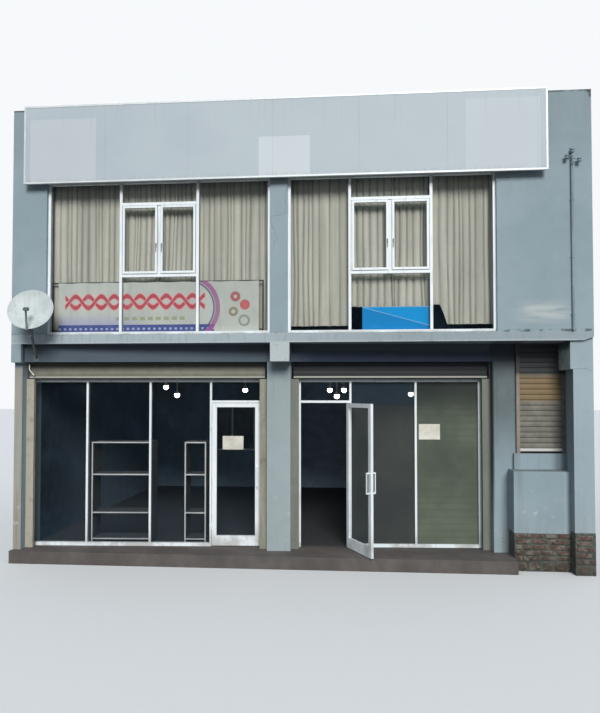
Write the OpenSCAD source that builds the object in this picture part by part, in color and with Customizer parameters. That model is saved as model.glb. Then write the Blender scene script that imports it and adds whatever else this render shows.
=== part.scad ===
// Two-storey corner shop with a jettied upper floor, two glazed shop bays and a hatch bay.
// Millimetres. X runs along the front, Y runs back from the street, Z is up from the pavement.
// The origin is on the pavement level, at the middle of the plot.

/* [Building] */
// Depth of the plot from the upper front to the rear wall
plot_depth = 6500; // [5600:50:7600]
// Thickness of the side and rear walls
wall_t = 120; // [100:5:160]
// Thickness of the upper front wall
front_wall_t = 150; // [130:5:180]
// Height of the shop floor above the pavement
floor_rise = 180; // [120:10:240]
// Thickness of the first floor slab, seen as the ledge
slab_t = 135; // [110:5:170]
// Height of the upper windows, from the slab to the lintel
window_h = 2270; // [2150:10:2400]
// Height of the parapet wall above the upper windows
parapet_h = 1080; // [950:10:1200]

/* [Upper front] */
// Width of the pier left of the upper windows
left_pier_w = 525; // [400:5:600]
// Width of the left upper window
left_window_w = 3325; // [3200:5:3400]
// Width of the pier between the upper windows
mid_pier_w = 252; // [200:4:300]
// Width of the right upper window
right_window_w = 2927; // [2800:5:3000]
// Distance between the mullions on each side of a pair of casements
casement_bay = 1147; // [1060:5:1200]
// Width of the narrow light left of the casements, left window
left_side_light = 1108; // [1000:5:1150]
// Width of the narrow light left of the casements, right window
right_side_light = 887; // [820:5:930]
// Height of the lower casement rail above the slab
low_rail_z = 860; // [780:5:900]
// Height of the upper casement rail above the slab
high_rail_z = 1920; // [1850:5:2000]
// Face width of the aluminium window sections
section_w = 40; // [32:1:50]
// Depth of the aluminium window sections
section_d = 60; // [50:1:70]
// Distance from the upper front to the face of the window frames
window_setback = 50; // [40:1:60]

/* [Shopfront line] */
// How far the shopfront stands back from the upper front at the left wall
recess_left = 107; // [80:1:160]
// Angle by which the shopfront line falls back towards the right
skew = 3; // [1:0.25:3.5]
// Height of the beam over the shopfronts
beam_h = 260; // [220:5:300]
// Thickness of the beam over the shopfronts
beam_t = 120; // [100:5:130]
// Clear width of the left shop bay
left_bay_w = 3654; // [3500:2:3900]
// Width of the column between the bays
column_w = 346; // [320:2:360]
// Depth of the column between the bays
column_d = 340; // [330:5:380]
// Clear width of the right shop bay
right_bay_w = 2956; // [2800:2:3200]
// Width of the pier between the right bay and the hatch bay
alcove_pier_w = 357; // [340:2:380]
// Clear width of the hatch bay, from that pier to the right wall
hatch_bay_w = 777; // [760:2:860]
// Distance from the shopfront line to the aluminium frames
frame_setback = 250; // [245:1:270]
// Height of the shopfront frames above the shop floor
frame_h = 2520; // [2480:5:2560]
// Height of the transom over the doors above the shop floor
transom_z = 2165; // [2100:5:2200]

/* [Doors] */
// Width of the left door opening between its posts
left_door_w = 737; // [710:1:760]
// Width of the right door opening between its posts
right_door_w = 734; // [700:1:760]
// Thickness of the door leaves
leaf_t = 40; // [35:1:45]
// Width of the door stiles
stile_w = 70; // [60:1:95]
// Height of the bottom rail of the doors
kick_rail_h = 150; // [100:5:200]
// Angle at which the right door stands open
open_angle = 115; // [100:5:130]

/* [Right corner] */
// Width of the corner pier
corner_pier_w = 269; // [240:1:290]
// Distance from the upper front to the back of the corner pier
corner_pier_d = 300; // [270:5:340]
// Distance from the upper front to the face of the corner pier
corner_setback = 40; // [20:2:60]
// Height of the brick footing under the corner pier
footing_h = 575; // [500:5:620]
// How much lower the footing is under the dwarf wall
footing_drop = 50; // [20:5:80]
// How far the footing stands proud of the walls on it
footing_lap = 15; // [5:1:20]
// Length of the dwarf wall beside the corner pier
dwarf_len = 769; // [730:1:790]
// Top of the dwarf wall above the pavement
dwarf_top = 1390; // [1300:5:1450]
// Distance from the upper front to the face of the dwarf wall
dwarf_setback = 200; // [120:5:240]
// Sill of the hatch above the pavement
hatch_sill_z = 1618; // [1560:2:1680]
// Width of the hatch between its guides
hatch_w = 600; // [560:5:610]
// Face width of the hatch guides
hatch_guide_w = 52; // [45:1:65]
// Height of one shutter slat
slat_pitch = 78; // [70:1:90]
// Height of the block under the ledge at the corner pier
corner_block_h = 395; // [340:5:420]
// How much wider the corner block is than its pier
corner_block_lap = 36; // [20:1:50]

/* [Ledge blocks] */
// Height of the beam ends under the ledge at the left and the middle
block_h = 271; // [240:1:290]
// Width of the left beam end
left_block_w = 150; // [140:1:180]
// Width of the middle beam end
mid_block_w = 277; // [255:1:300]

/* [Roller shutters] */
// Face width of the shutter guides
guide_w = 120; // [100:1:130]
// Depth of the shutter guides
guide_d = 60; // [50:1:70]
// Diameter of the rolled-up shutters
coil_dia = 210; // [180:5:220]
// How far the shutters hang below the beam
shutter_drop = 245; // [200:5:260]
// Gap between the bottom bars and the shopfront frames
bar_gap = 10; // [5:1:40]
// Height of the bottom bars of the shutters
bottom_bar_h = 36; // [28:1:45]

/* [Sign] */
// Distance from the right edge of the front to the sign board
sign_right = 625; // [500:5:750]
// Height of the sign board
sign_h = 1144; // [1050:2:1180]
// Distance from the left edge of the front to the sign board
sign_x = 235; // [180:5:300]
// Distance from the wall to the face of the sign
sign_depth = 134; // [110:2:160]
// Gap between the top of the sign board and the top of the parapet
sign_top_gap = 10; // [0:2:30]
// Width of the trim around the sign board
trim_w = 25; // [18:1:35]

/* [Roof] */
// Fall of the roof towards the rear
roof_pitch = 5; // [4:0.5:6]
// Distance from the top of the parapet down to the rafters
roof_drop = 370; // [330:5:420]
// Height of the rafters
rafter_h = 140; // [120:5:160]
// Size of the square purlins
purlin = 50; // [40:1:60]
// Pitch of the corrugations
corrugation = 177; // [146:1:190]
// Depth of the corrugations
corrugation_h = 50; // [40:1:57]
// Height of the side walls above the sheets
verge_h = 80; // [60:5:120]
// Overhang of the sheets past the rear wall
eave = 130; // [110:5:160]
// Diameter of the rear gutter
gutter_dia = 120; // [100:5:140]
// Diameter of the downpipe
downpipe_dia = 75; // [63:1:90]

/* [Rear and side windows] */
// Width of the plain windows
plain_w = 1150; // [1000:10:1250]
// Height of the plain windows
plain_h = 1100; // [1000:10:1150]
// Height of the plain window sills above each floor
plain_sill = 900; // [850:10:950]

/* [Fittings] */
// Diameter of the dish
dish_dia = 606; // [560:2:640]
// Depth of the dish
dish_depth = 75; // [60:5:90]
// Upward tilt of the dish
dish_tilt = 21; // [15:1:30]
// Turn of the dish towards the right
dish_turn = 10; // [4:1:20]
// Height of the guard rail inside the left upper window
rail_h = 790; // [740:5:850]
// Width of the blue panel behind the right upper window
blue_panel_w = 950; // [850:10:1000]
// Height of the blue panel
blue_panel_h = 378; // [300:2:420]
// Distance from the left side light to the blue panel
blue_panel_x = 177; // [120:1:180]
// Diameter of the conduit on the upper front
conduit_dia = 34; // [24:1:40]

/* [Hidden] */
$fn = 48;

// Colours
wall_blue = "#9fb0ba";
shade_blue = "#8f9fa8";
concrete = "#b8b2a8";
brick_red = "#8a5647";
sign_blue = "#c9d3d8";
white_alu = "#e8e9e4";
shutter_beige = "#a8a08c";
curtain_beige = "#b4ab9c";
steel_dark = "#3c4144";
glass_tint = [0.35, 0.45, 0.5, 0.35];

// Levels
frame_top = floor_rise + frame_h;
beam_bottom = frame_top + bar_gap + shutter_drop;
slab_bottom = beam_bottom + beam_h;
slab_top = slab_bottom + slab_t;
lintel_z = slab_top + window_h;
wall_top = lintel_z + parapet_h;

// Lines across the front
bays_end = round((left_bay_w + column_w + right_bay_w + alcove_pier_w) * cos(skew));
room_w = bays_end + hatch_bay_w;
front_width = room_w + 2 * wall_t;
x_left = -front_width / 2;
x_right = front_width / 2;
inner_left = x_left + wall_t;
inner_right = x_right - wall_t;
sign_w = front_width - sign_x - sign_right;
left_window_x = x_left + left_pier_w;
right_window_x = left_window_x + left_window_w + mid_pier_w;
right_window_end = right_window_x + right_window_w;
mid_block_x = left_window_x + left_window_w;
corner_pier_x = x_right - corner_pier_w;
corner_block_x = corner_pier_x - corner_block_lap;
dwarf_x = corner_pier_x - dwarf_len;
dwarf_foot = footing_h - footing_drop;

// Distances along the shopfront line, from the left wall
column_u = left_bay_w;
right_bay_u = column_u + column_w;
alcove_pier_u = right_bay_u + right_bay_w;
alcove_pier_end = alcove_pier_u + alcove_pier_w;
hatch_u = alcove_pier_end + hatch_guide_w - 30;
hatch_end = hatch_u + hatch_w + hatch_guide_w;
hatch_guide_d = 45;
hatch_bar_h = 71;
hatch_sill_lap = 70;

// Clearances and small sizes
fit_gap = 0.3;
tall = 9000;
glass_t = 6;
door_side_gap = 5;
door_lock_gap = 8;
door_top_gap = 6;
door_floor_gap = 12;
pin_standoff = 13;
pin_r = 7;
knuckle_h = 40;
plate_t = 8;
plate_start = 3;
plate_end = 24;
post_w = 30;
mullion_w = 32;
transom_h = 35;
sill_h = 50;
head_h = 40;

function line_y(x) = recess_left + tan(skew) * (x - inner_left);
function rafter_top(y) = wall_top - roof_drop - tan(roof_pitch) * (y - front_wall_t);

// Moves a piece from the front's own lines to the plot's middle
module on_plot() {
    translate([0, -plot_depth / 2, 0]) children();
}

// Places a piece along the slanted shopfront line
module on_line(u = 0, e = 0) {
    translate([inner_left, recess_left, 0]) rotate([0, 0, skew]) translate([u, e, 0]) children();
}

// Keeps only what lies between the side walls
module between_walls() {
    intersection() {
        children();
        translate([inner_left, 0, 0]) cube([room_w, plot_depth, tall]);
    }
}

module block(x, y, z, w, d, h) {
    translate([x, y, z]) cube([w, d, h]);
}

// A vertical prism on a plan given as points
module plan_block(points, z0, z1) {
    translate([0, 0, z0]) linear_extrude(z1 - z0) polygon(points);
}

// A prism along X on a side profile given as [y, z] points
module side_block(points, x0, w) {
    translate([x0, 0, 0]) rotate([90, 0, 90]) linear_extrude(w) polygon(points);
}

// Ring of four bars in the XZ plane
module ring(w, h, bar, d) {
    difference() {
        cube([w, d, h]);
        translate([bar, -1, bar]) cube([w - 2 * bar, d + 2, h - 2 * bar]);
    }
}

// Floors and structure

module shop_floor() {
    color(concrete) on_plot() plan_block([
        [x_left, 0], [dwarf_x, 0], [dwarf_x, line_y(dwarf_x)], [inner_right, line_y(inner_right)],
        [inner_right, corner_pier_d], [x_right, corner_pier_d],
        [x_right, plot_depth], [x_left, plot_depth]], 0, floor_rise);
}

// Plan of the dwarf wall beside the corner pier, whose back follows the shopfront line
function dwarf_plan(front) = [
    [dwarf_x, front], [corner_pier_x, front], [corner_pier_x, corner_pier_d], [inner_right, corner_pier_d],
    [inner_right, line_y(inner_right) - fit_gap], [dwarf_x, line_y(dwarf_x) - fit_gap]];

module brick_footing() {
    pier_front = corner_setback - footing_lap;
    color(brick_red) on_plot() union() {
        plan_block(dwarf_plan(dwarf_setback - footing_lap), 0, dwarf_foot);
        block(corner_pier_x, pier_front, 0, corner_pier_w, corner_pier_d - pier_front, footing_h);
    }
}

// The slab's lower edge is broken away at its right end
chip_w = 140;
chip_h = 45;

module first_floor_slab() {
    color(wall_blue) on_plot() difference() {
        plan_block([
            [x_left, 0], [x_right, 0], [x_right, corner_pier_d], [inner_right, corner_pier_d],
            [inner_right, plot_depth - wall_t], [inner_left, plot_depth - wall_t],
            [inner_left, recess_left], [x_left, recess_left]], slab_bottom, slab_top);
        translate([0, corner_setback, 0]) rotate([90, 0, 0]) linear_extrude(corner_setback + 1)
            polygon([[x_right - chip_w, slab_bottom - 1], [x_right + 1, slab_bottom - 1],
                [x_right + 1, slab_bottom + chip_h]]);
    }
}

module shopfront_beam() {
    depth = beam_t / cos(skew);
    color(wall_blue) on_plot() plan_block([
        [inner_left, line_y(inner_left)], [inner_right, line_y(inner_right)],
        [inner_right, line_y(inner_right) + depth], [inner_left, line_y(inner_left) + depth]],
        beam_bottom, slab_bottom);
}

// The beam rests on the front of each column, and the column runs up behind it
module line_column(u, w, d) {
    on_line(u) union() {
        block(0, 0, floor_rise, w, d, beam_bottom - fit_gap - floor_rise);
        block(0, beam_t + fit_gap, floor_rise, w, d - beam_t - fit_gap, slab_bottom - fit_gap - floor_rise);
    }
}

module centre_column() {
    color(wall_blue) on_plot() line_column(column_u, column_w, column_d);
}

module alcove_pier() {
    color(wall_blue) on_plot() line_column(alcove_pier_u, alcove_pier_w, column_d);
}

module corner_pier() {
    color(wall_blue) on_plot() block(corner_pier_x, corner_setback, footing_h,
        corner_pier_w, corner_pier_d - corner_setback, slab_bottom - corner_block_h - footing_h);
}

// The low wall, the sill on it that the hatch stands on, and the jamb between hatch and side wall
module dwarf_wall() {
    sill_x = inner_left + (alcove_pier_end - hatch_sill_lap) * cos(skew);
    jamb_x = inner_left + hatch_end * cos(skew) + (hatch_guide_d + fit_gap) * sin(skew) + fit_gap;
    jamb_e = hatch_guide_d;
    color(wall_blue) on_plot() union() {
        plan_block(dwarf_plan(dwarf_setback), dwarf_foot, dwarf_top);
        plan_block([[sill_x, line_y(sill_x) - hatch_guide_d - 15],
            [inner_right, line_y(inner_right) - hatch_guide_d - 15],
            [inner_right, line_y(inner_right) - fit_gap], [sill_x, line_y(sill_x) - fit_gap]],
            dwarf_top, hatch_sill_z);
        plan_block([[jamb_x, line_y(jamb_x) - jamb_e], [inner_right, line_y(inner_right) - jamb_e],
            [inner_right, line_y(inner_right)], [jamb_x, line_y(jamb_x)]],
            hatch_sill_z, slab_bottom - corner_block_h);
    }
}

module ledge_blocks() {
    color(wall_blue) on_plot() {
        block(x_left, 0, slab_bottom - block_h, left_block_w, recess_left, block_h);
        plan_block([[mid_block_x, 0], [mid_block_x + mid_block_w, 0],
            [mid_block_x + mid_block_w, line_y(mid_block_x + mid_block_w)],
            [mid_block_x, line_y(mid_block_x)]], slab_bottom - block_h, slab_bottom);
        plan_block([[corner_block_x, corner_setback], [x_right, corner_setback], [x_right, corner_pier_d],
            [inner_right, corner_pier_d], [inner_right, line_y(inner_right)],
            [corner_block_x, line_y(corner_block_x)]], slab_bottom - corner_block_h, slab_bottom);
    }
}

// Walls

side_top_front = rafter_top(front_wall_t) + purlin + corrugation_h + verge_h;
side_top_rear = rafter_top(plot_depth) + purlin + corrugation_h + verge_h;
rear_top = rafter_top(plot_depth) - rafter_h / cos(roof_pitch);

module left_wall() {
    color(wall_blue) on_plot() side_block([
        [recess_left, floor_rise], [plot_depth, floor_rise], [plot_depth, side_top_rear],
        [front_wall_t, side_top_front], [front_wall_t, slab_top], [recess_left, slab_top]],
        x_left, wall_t);
}

// Middles of the plain windows, measured back from the front and across the rear
side_window_ys = [plot_depth * 0.36, plot_depth * 0.74];
rear_window_xs = [-front_width * 0.25, front_width * 0.25];
storey_floors = [floor_rise, slab_top];

module right_wall() {
    color(wall_blue) on_plot() difference() {
        side_block([
            [corner_pier_d, floor_rise], [plot_depth, floor_rise], [plot_depth, side_top_rear],
            [front_wall_t, side_top_front], [front_wall_t, slab_top], [corner_pier_d, slab_top]],
            inner_right, wall_t);
        for (y = side_window_ys, z = storey_floors)
            block(inner_right - 1, y - plain_w / 2, z + plain_sill, wall_t + 2, plain_w, plain_h);
    }
}

module rear_wall(z0, z1, floor_z) {
    y = plot_depth - wall_t;
    difference() {
        block(inner_left, y, z0, room_w, wall_t, z1 - z0);
        for (x = rear_window_xs)
            block(x - plain_w / 2, y - 1, floor_z + plain_sill, plain_w, wall_t + 2, plain_h);
    }
}

module rear_wall_lower() {
    color(wall_blue) on_plot() rear_wall(floor_rise, slab_top, floor_rise);
}

module rear_wall_upper() {
    color(wall_blue) on_plot() rear_wall(slab_top, rear_top, slab_top);
}

module front_piers() {
    color(wall_blue) on_plot() {
        block(x_left, 0, slab_top, left_pier_w, front_wall_t, window_h);
        block(mid_block_x, 0, slab_top, mid_pier_w, front_wall_t, window_h);
        block(right_window_end, 0, slab_top, x_right - right_window_end, front_wall_t, window_h);
    }
}

module parapet() {
    color(wall_blue) on_plot() block(x_left, 0, lintel_z, front_width, front_wall_t, parapet_h);
}

// Roof

rafter_w = 60;
rafter_count = 5;
purlin_count = 7;
sheet_t = 6;
sheet_gap = 4;
wave_steps = 6;

// A bar that follows the fall of the roof between two distances from the front
module sloped_bar(y0, y1, up, h, x0, w) {
    side_block([
        [y0, rafter_top(y0) + up], [y1, rafter_top(y1) + up],
        [y1, rafter_top(y1) + up + h], [y0, rafter_top(y0) + up + h]], x0, w);
}

module roof_frame() {
    rafter_end = plot_depth + eave - 30;
    fall_h = rafter_h / cos(roof_pitch);
    purlin_run = rafter_end - purlin - front_wall_t - 60;
    color("#8c7a5e") on_plot() union() {
        for (i = [0 : rafter_count - 1])
            sloped_bar(front_wall_t, rafter_end, -fall_h, fall_h,
                inner_left + (room_w - rafter_w) * (i + 0.5) / rafter_count, rafter_w);
        for (i = [0 : purlin_count - 1]) {
            y = front_wall_t + 60 + purlin_run * i / (purlin_count - 1);
            sloped_bar(y, y + purlin, 0, purlin, inner_left, room_w);
        }
    }
}

function wave(x) = corrugation_h / 2 * (1 - cos(360 * x / corrugation));

module roof_sheets() {
    w = room_w - 2 * sheet_gap;
    steps = floor(w / (corrugation / wave_steps));
    xs = [for (i = [0 : steps]) i * w / steps];
    run = (plot_depth + eave - front_wall_t - sheet_gap) / cos(roof_pitch);
    y = front_wall_t + sheet_gap + 5;
    color("#9a9a94") on_plot() translate([inner_left + sheet_gap, y, rafter_top(y) + purlin])
        rotate([-90 - roof_pitch, 0, 0]) mirror([0, 1, 0]) linear_extrude(run)
        polygon(concat([for (x = xs) [x, wave(x)]],
            [for (i = [steps : -1 : 0]) [xs[i], wave(xs[i]) + sheet_t]]));
}

module rear_gutter() {
    r = gutter_dia / 2;
    lip = 3;
    y = plot_depth + eave - 30 + r;
    z = rafter_top(plot_depth + eave) - 10;
    pipe_x = inner_right - 200;
    pipe_y = y;
    color("#d8d8d2") on_plot() {
        union() {
            translate([inner_left, y, z]) rotate([0, 90, 0]) difference() {
                cylinder(r = r, h = room_w);
                translate([0, 0, lip]) cylinder(r = r - lip, h = room_w - 2 * lip);
                translate([-2 * r, -2 * r, -1]) cube([2 * r, 4 * r, room_w + 2]);
            }
            translate([pipe_x, pipe_y, 40]) difference() {
                cylinder(d = downpipe_dia, h = z - 40 - r + lip);
                translate([0, 0, -1]) cylinder(d = downpipe_dia - 2 * lip, h = z - r);
            }
            for (zc = [z * 0.14, z * 0.49, z * 0.84])
                difference() {
                    block(pipe_x - 15, plot_depth, zc, 30, pipe_y - plot_depth, 40);
                    translate([pipe_x, pipe_y, zc - 1]) cylinder(d = downpipe_dia - lip, h = 42);
                }
        }
    }
}

// Sign

sign_z = wall_top - sign_top_gap - sign_h;
panel_t = 4;
trim_t = 4;
sign_bar = 30;
stud_d = 40;

function stud_x(i) = trim_t + (sign_w - 2 * trim_t - sign_bar) * i / 6;

module sign_board() {
    color(sign_blue) on_plot() block(x_left + sign_x + trim_t, -sign_depth + trim_t, sign_z + trim_t,
        sign_w - 2 * trim_t, panel_t, sign_h - 2 * trim_t);
}

module sign_frame() {
    back = sign_depth - trim_t - panel_t;
    color("#d9dcda") on_plot() translate([x_left + sign_x, 0, sign_z]) union() {
        difference() {
            block(0, -sign_depth, 0, sign_w, trim_t + panel_t + sign_bar, sign_h);
            block(trim_t, -sign_depth + trim_t, trim_t, sign_w - 2 * trim_t, back, sign_h - 2 * trim_t);
            block(trim_w, -sign_depth - 1, trim_w, sign_w - 2 * trim_w, trim_t + 2, sign_h - 2 * trim_w);
        }
        for (i = [0 : 6])
            block(stud_x(i), -back, trim_t, sign_bar, sign_bar, sign_h - 2 * trim_t);
        for (i = [0 : 2 : 6], z = [sign_h * 0.2, sign_h * 0.75])
            block(stud_x(i), -back, z, sign_bar, back, stud_d);
    }
}

// Upper windows

// Position of the mullions of a window, given its narrow light
function mullions(side_light) = [side_light, side_light + casement_bay];
casement_clear = casement_bay - section_w;
casement_post = 30;
sash_hole_w = (casement_clear - casement_post) / 2;
sash_hole_z = low_rail_z + section_w / 2;
sash_hole_h = high_rail_z - low_rail_z - section_w;
sash_flange = 10;
sash_bar = 42;
sash_proud = 12;

module window_frame(w, side_light) {
    m = mullions(side_light);
    union() {
        ring(w, window_h, section_w, section_d);
        for (x = m)
            block(x - section_w / 2, 0, section_w, section_w, section_d, window_h - 2 * section_w);
        for (z = [low_rail_z, high_rail_z])
            block(m[0], 0, z - section_w / 2, casement_bay, section_d, section_w);
        block(m[0] + casement_bay / 2 - casement_post / 2, 15, low_rail_z,
            casement_post, section_d - 20, high_rail_z - low_rail_z);
    }
}

module window_frames() {
    color(white_alu) on_plot() {
        translate([left_window_x, window_setback, slab_top]) window_frame(left_window_w, left_side_light);
        translate([right_window_x, window_setback, slab_top]) window_frame(right_window_w, right_side_light);
    }
}

// One casement: a flange that fills the opening and a slimmer ring that stands proud
module sash() {
    w = sash_hole_w - 2 * fit_gap;
    h = sash_hole_h - 2 * fit_gap;
    front = sash_proud + 20;
    translate([fit_gap, 20, fit_gap]) union() {
        ring(w, h, sash_bar, sash_flange);
        translate([sash_flange, -front, sash_flange])
            ring(w - 2 * sash_flange, h - 2 * sash_flange, sash_bar - sash_flange, front);
    }
}

// Places a piece in each half of the casement bay of both windows
module at_sashes() {
    for (start = [left_window_x + left_side_light, right_window_x + right_side_light], half = [0, 1])
        translate([start + section_w / 2 + half * (sash_hole_w + casement_post), window_setback,
            slab_top + sash_hole_z]) children();
}

module casement_sashes() {
    color(white_alu) on_plot() at_sashes() sash();
}

module panes(w, side_light) {
    m = mullions(side_light);
    y = (section_d - glass_t) / 2;
    low = section_w;
    high = window_h - section_w;
    block(section_w, y, low, m[0] - 1.5 * section_w, glass_t, high - low);
    block(m[1] + section_w / 2, y, low, w - m[1] - 1.5 * section_w, glass_t, high - low);
    block(m[0] + section_w / 2, y, low, casement_clear, glass_t, low_rail_z - section_w / 2 - low);
    block(m[0] + section_w / 2, y, high_rail_z + section_w / 2, casement_clear, glass_t,
        high - high_rail_z - section_w / 2);
}

module upper_glass() {
    color(glass_tint) on_plot() {
        translate([left_window_x, window_setback, slab_top]) panes(left_window_w, left_side_light);
        translate([right_window_x, window_setback, slab_top]) panes(right_window_w, right_side_light);
        at_sashes() block(fit_gap + sash_bar, 10, fit_gap + sash_bar,
            sash_hole_w - 2 * fit_gap - 2 * sash_bar, glass_t, sash_hole_h - 2 * fit_gap - 2 * sash_bar);
    }
}

// What shows behind the upper glass

rod_z = lintel_z + 40;
rod_r = 12;
curtain_y = front_wall_t + 30;
curtain_t = 60;
curtain_foot = slab_top + 15;

module curtain_rods() {
    color(steel_dark) on_plot()
        for (span = [[left_window_x - 120, left_window_x + left_window_w + 40],
                [right_window_x - 40, right_window_end + 120]])
            union() {
                translate([span[0], curtain_y + curtain_t / 2, rod_z]) rotate([0, 90, 0])
                    cylinder(r = rod_r, h = span[1] - span[0], $fn = 24);
                for (x = [span[0] + 30, (span[0] + span[1]) / 2, span[1] - 50])
                    block(x, front_wall_t, rod_z - 8, 20, curtain_y + curtain_t / 2 - front_wall_t, 16);
            }
}

module curtain(x0, x1, foot) {
    block(x0, curtain_y, foot, x1 - x0, curtain_t, rod_z - rod_r - fit_gap - foot);
}

module curtains() {
    l = mullions(left_side_light);
    r = mullions(right_side_light);
    color(curtain_beige) on_plot() {
        curtain(left_window_x - 60, left_window_x + l[0] - 15, curtain_foot);
        curtain(left_window_x + l[0] + 15, left_window_x + l[1] - 15, slab_top + low_rail_z);
        curtain(left_window_x + l[1] + 15, left_window_x + left_window_w + 20, curtain_foot);
        curtain(right_window_x - 20, right_window_x + r[0] - 15, slab_top + 80);
        curtain(right_window_x + r[0] + 15, right_window_x + r[1] - 15, slab_top + 385);
        curtain(right_window_x + r[1] + 15, right_window_end + 60, slab_top + 72);
    }
}

rail_y = 132;
rail_bar = 20;
baluster = 12;
baluster_count = 27;

module guard_rail() {
    x0 = left_window_x + 20;
    x1 = left_window_x + left_window_w - 110;
    run = x1 - x0 - rail_bar;
    low = slab_top + 60;
    baluster_y = rail_y + (rail_bar - baluster) / 2;
    color(steel_dark) on_plot() union() {
        block(x0, rail_y, slab_top + rail_h - rail_bar, x1 - x0, rail_bar, rail_bar);
        block(x0, rail_y, low, x1 - x0, rail_bar, rail_bar);
        for (x = [x0, x1 - rail_bar])
            block(x, rail_y, slab_top, rail_bar, rail_bar, rail_h);
        for (i = [1 : baluster_count])
            block(x0 + rail_bar / 2 + run * i / (baluster_count + 1) - baluster / 2,
                baluster_y, low, baluster, baluster, slab_top + rail_h - rail_bar - low);
    }
}

module banner() {
    color("#cfc9cc") on_plot()
        block(left_window_x + 85, rail_y - 5 - fit_gap, slab_top + 30, left_window_w - 310, 5, rail_h - 40);
}

module blue_panel() {
    color("#2a7fc4") on_plot()
        block(right_window_x + right_side_light + blue_panel_x, 125, slab_top, blue_panel_w, 6, blue_panel_h);
}

// Shopfronts, in the slanted line's own frame

// The ends of the frames show beside the guides in front of them
left_jamb_w = guide_w + 2;
right_first_w = guide_w + 27;
right_end_w = guide_w + 28;
left_end_u = left_bay_w - left_jamb_w;
left_door_u = left_end_u - left_door_w;
left_hinge_u = left_door_u - post_w;
left_posts = [[0, 50], [round(left_hinge_u * 0.315), mullion_w],
    [round(left_hinge_u * 0.665), mullion_w], [left_hinge_u, post_w]];
right_door_u = right_bay_u + right_first_w;
right_hinge_u = right_door_u + right_door_w;
right_lights = alcove_pier_u - right_end_w - right_hinge_u - post_w;
right_posts = [[right_hinge_u, post_w], [right_hinge_u + post_w + right_lights / 2, mullion_w]];
door_head = floor_rise + transom_z;
hinge_heights = [260, 1760];

module post(u, w) {
    block(u, 0, floor_rise, w, section_d, frame_h);
}

module transom(u, w) {
    block(u, 0, door_head, w, section_d, transom_h);
}

module head(u, w) {
    block(u, 0, frame_top - head_h, w, section_d, head_h);
}

module sill(u, w) {
    block(u, 0, floor_rise, w, section_d, sill_h);
}

// Fixed half of the hinges: a knuckle and the plate that joins it to the post; side is -1 or 1
module post_knuckles(u, side) {
    for (z = hinge_heights)
        translate([u, -pin_standoff, floor_rise + z]) union() {
            cylinder(r = pin_r, h = knuckle_h);
            translate([side > 0 ? plate_start : -plate_end, pin_standoff - plate_t, 0])
                cube([plate_end - plate_start, plate_t, knuckle_h]);
        }
}

module shopfront_left() {
    color(white_alu) on_plot() between_walls() on_line(0, frame_setback) union() {
        for (p = left_posts) post(p[0], p[1]);
        post(left_end_u, left_bay_w - left_end_u);
        head(0, left_bay_w);
        sill(0, left_door_u);
        transom(left_door_u, left_door_w);
        post_knuckles(left_door_u + door_side_gap / 2, -1);
    }
}

module shopfront_right() {
    color(white_alu) on_plot() on_line(0, frame_setback) union() {
        post(right_bay_u, right_first_w);
        for (p = right_posts) post(p[0], p[1]);
        post(alcove_pier_u - right_end_w, right_end_w);
        head(right_bay_u, right_bay_w);
        sill(right_hinge_u, alcove_pier_u - right_hinge_u);
        transom(right_door_u, right_door_w);
        post_knuckles(right_hinge_u - door_side_gap / 2, 1);
    }
}

module pane(u0, u1, z0, z1) {
    block(u0, (section_d - glass_t) / 2, z0, u1 - u0, glass_t, z1 - z0);
}

module shopfront_glass() {
    low = floor_rise + sill_h;
    high = frame_top - head_h;
    over_door = door_head + transom_h;
    color(glass_tint) on_plot() on_line(0, frame_setback) {
        for (i = [0 : 2])
            pane(left_posts[i][0] + left_posts[i][1], left_posts[i + 1][0], low, high);
        pane(left_door_u, left_end_u, over_door, high);
        pane(right_door_u, right_hinge_u, over_door, high);
        pane(right_posts[0][0] + right_posts[0][1], right_posts[1][0], low, high);
        pane(right_posts[1][0] + right_posts[1][1], alcove_pier_u - right_end_w, low, high);
    }
}

// A door leaf about its hinge pin, reaching towards +X with its street face on the pin's side
leaf_h = transom_z - door_top_gap - door_floor_gap;
leaf_top_rail = 60;
handle_h = 300;
handle_z = 900;
handle_w = 20;
handle_reach = 45;

// Pull handle standing on the plane Y = 0: a grip on two legs
module pull() {
    for (z = [0, handle_h - handle_w])
        block(-handle_w / 2, 0, z, handle_w, handle_reach, handle_w);
    block(-handle_w / 2, handle_reach - 2, 0, handle_w, 12, handle_h);
}

module leaf(w) {
    x0 = door_side_gap / 2;
    union() {
        translate([x0, pin_standoff, floor_rise + door_floor_gap]) difference() {
            cube([w, leaf_t, leaf_h]);
            translate([stile_w, -1, kick_rail_h])
                cube([w - 2 * stile_w, leaf_t + 2, leaf_h - kick_rail_h - leaf_top_rail]);
        }
        for (z = hinge_heights)
            translate([0, 0, floor_rise + z + knuckle_h + fit_gap]) union() {
                cylinder(r = pin_r, h = knuckle_h);
                translate([plate_start, pin_standoff - plate_t, 0])
                    cube([plate_end - plate_start, plate_t, knuckle_h]);
            }
        translate([x0 + w - stile_w / 2, pin_standoff, floor_rise + handle_z]) mirror([0, 1, 0]) pull();
        translate([x0 + w - stile_w / 2, pin_standoff + leaf_t, floor_rise + handle_z]) pull();
    }
}

module leaf_glass(w) {
    block(door_side_gap / 2 + stile_w, pin_standoff + (leaf_t - glass_t) / 2,
        floor_rise + door_floor_gap + kick_rail_h, w - 2 * stile_w, glass_t,
        leaf_h - kick_rail_h - leaf_top_rail);
}

left_leaf_w = left_door_w - door_side_gap - door_lock_gap;
right_leaf_w = right_door_w - door_side_gap - door_lock_gap;

module at_left_pin() {
    on_line(left_door_u + door_side_gap / 2, frame_setback - pin_standoff) children();
}

// The right leaf hangs on the other side and stands open
module at_right_pin() {
    on_line(right_hinge_u - door_side_gap / 2, frame_setback - pin_standoff)
        rotate([0, 0, open_angle]) mirror([1, 0, 0]) children();
}

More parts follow.
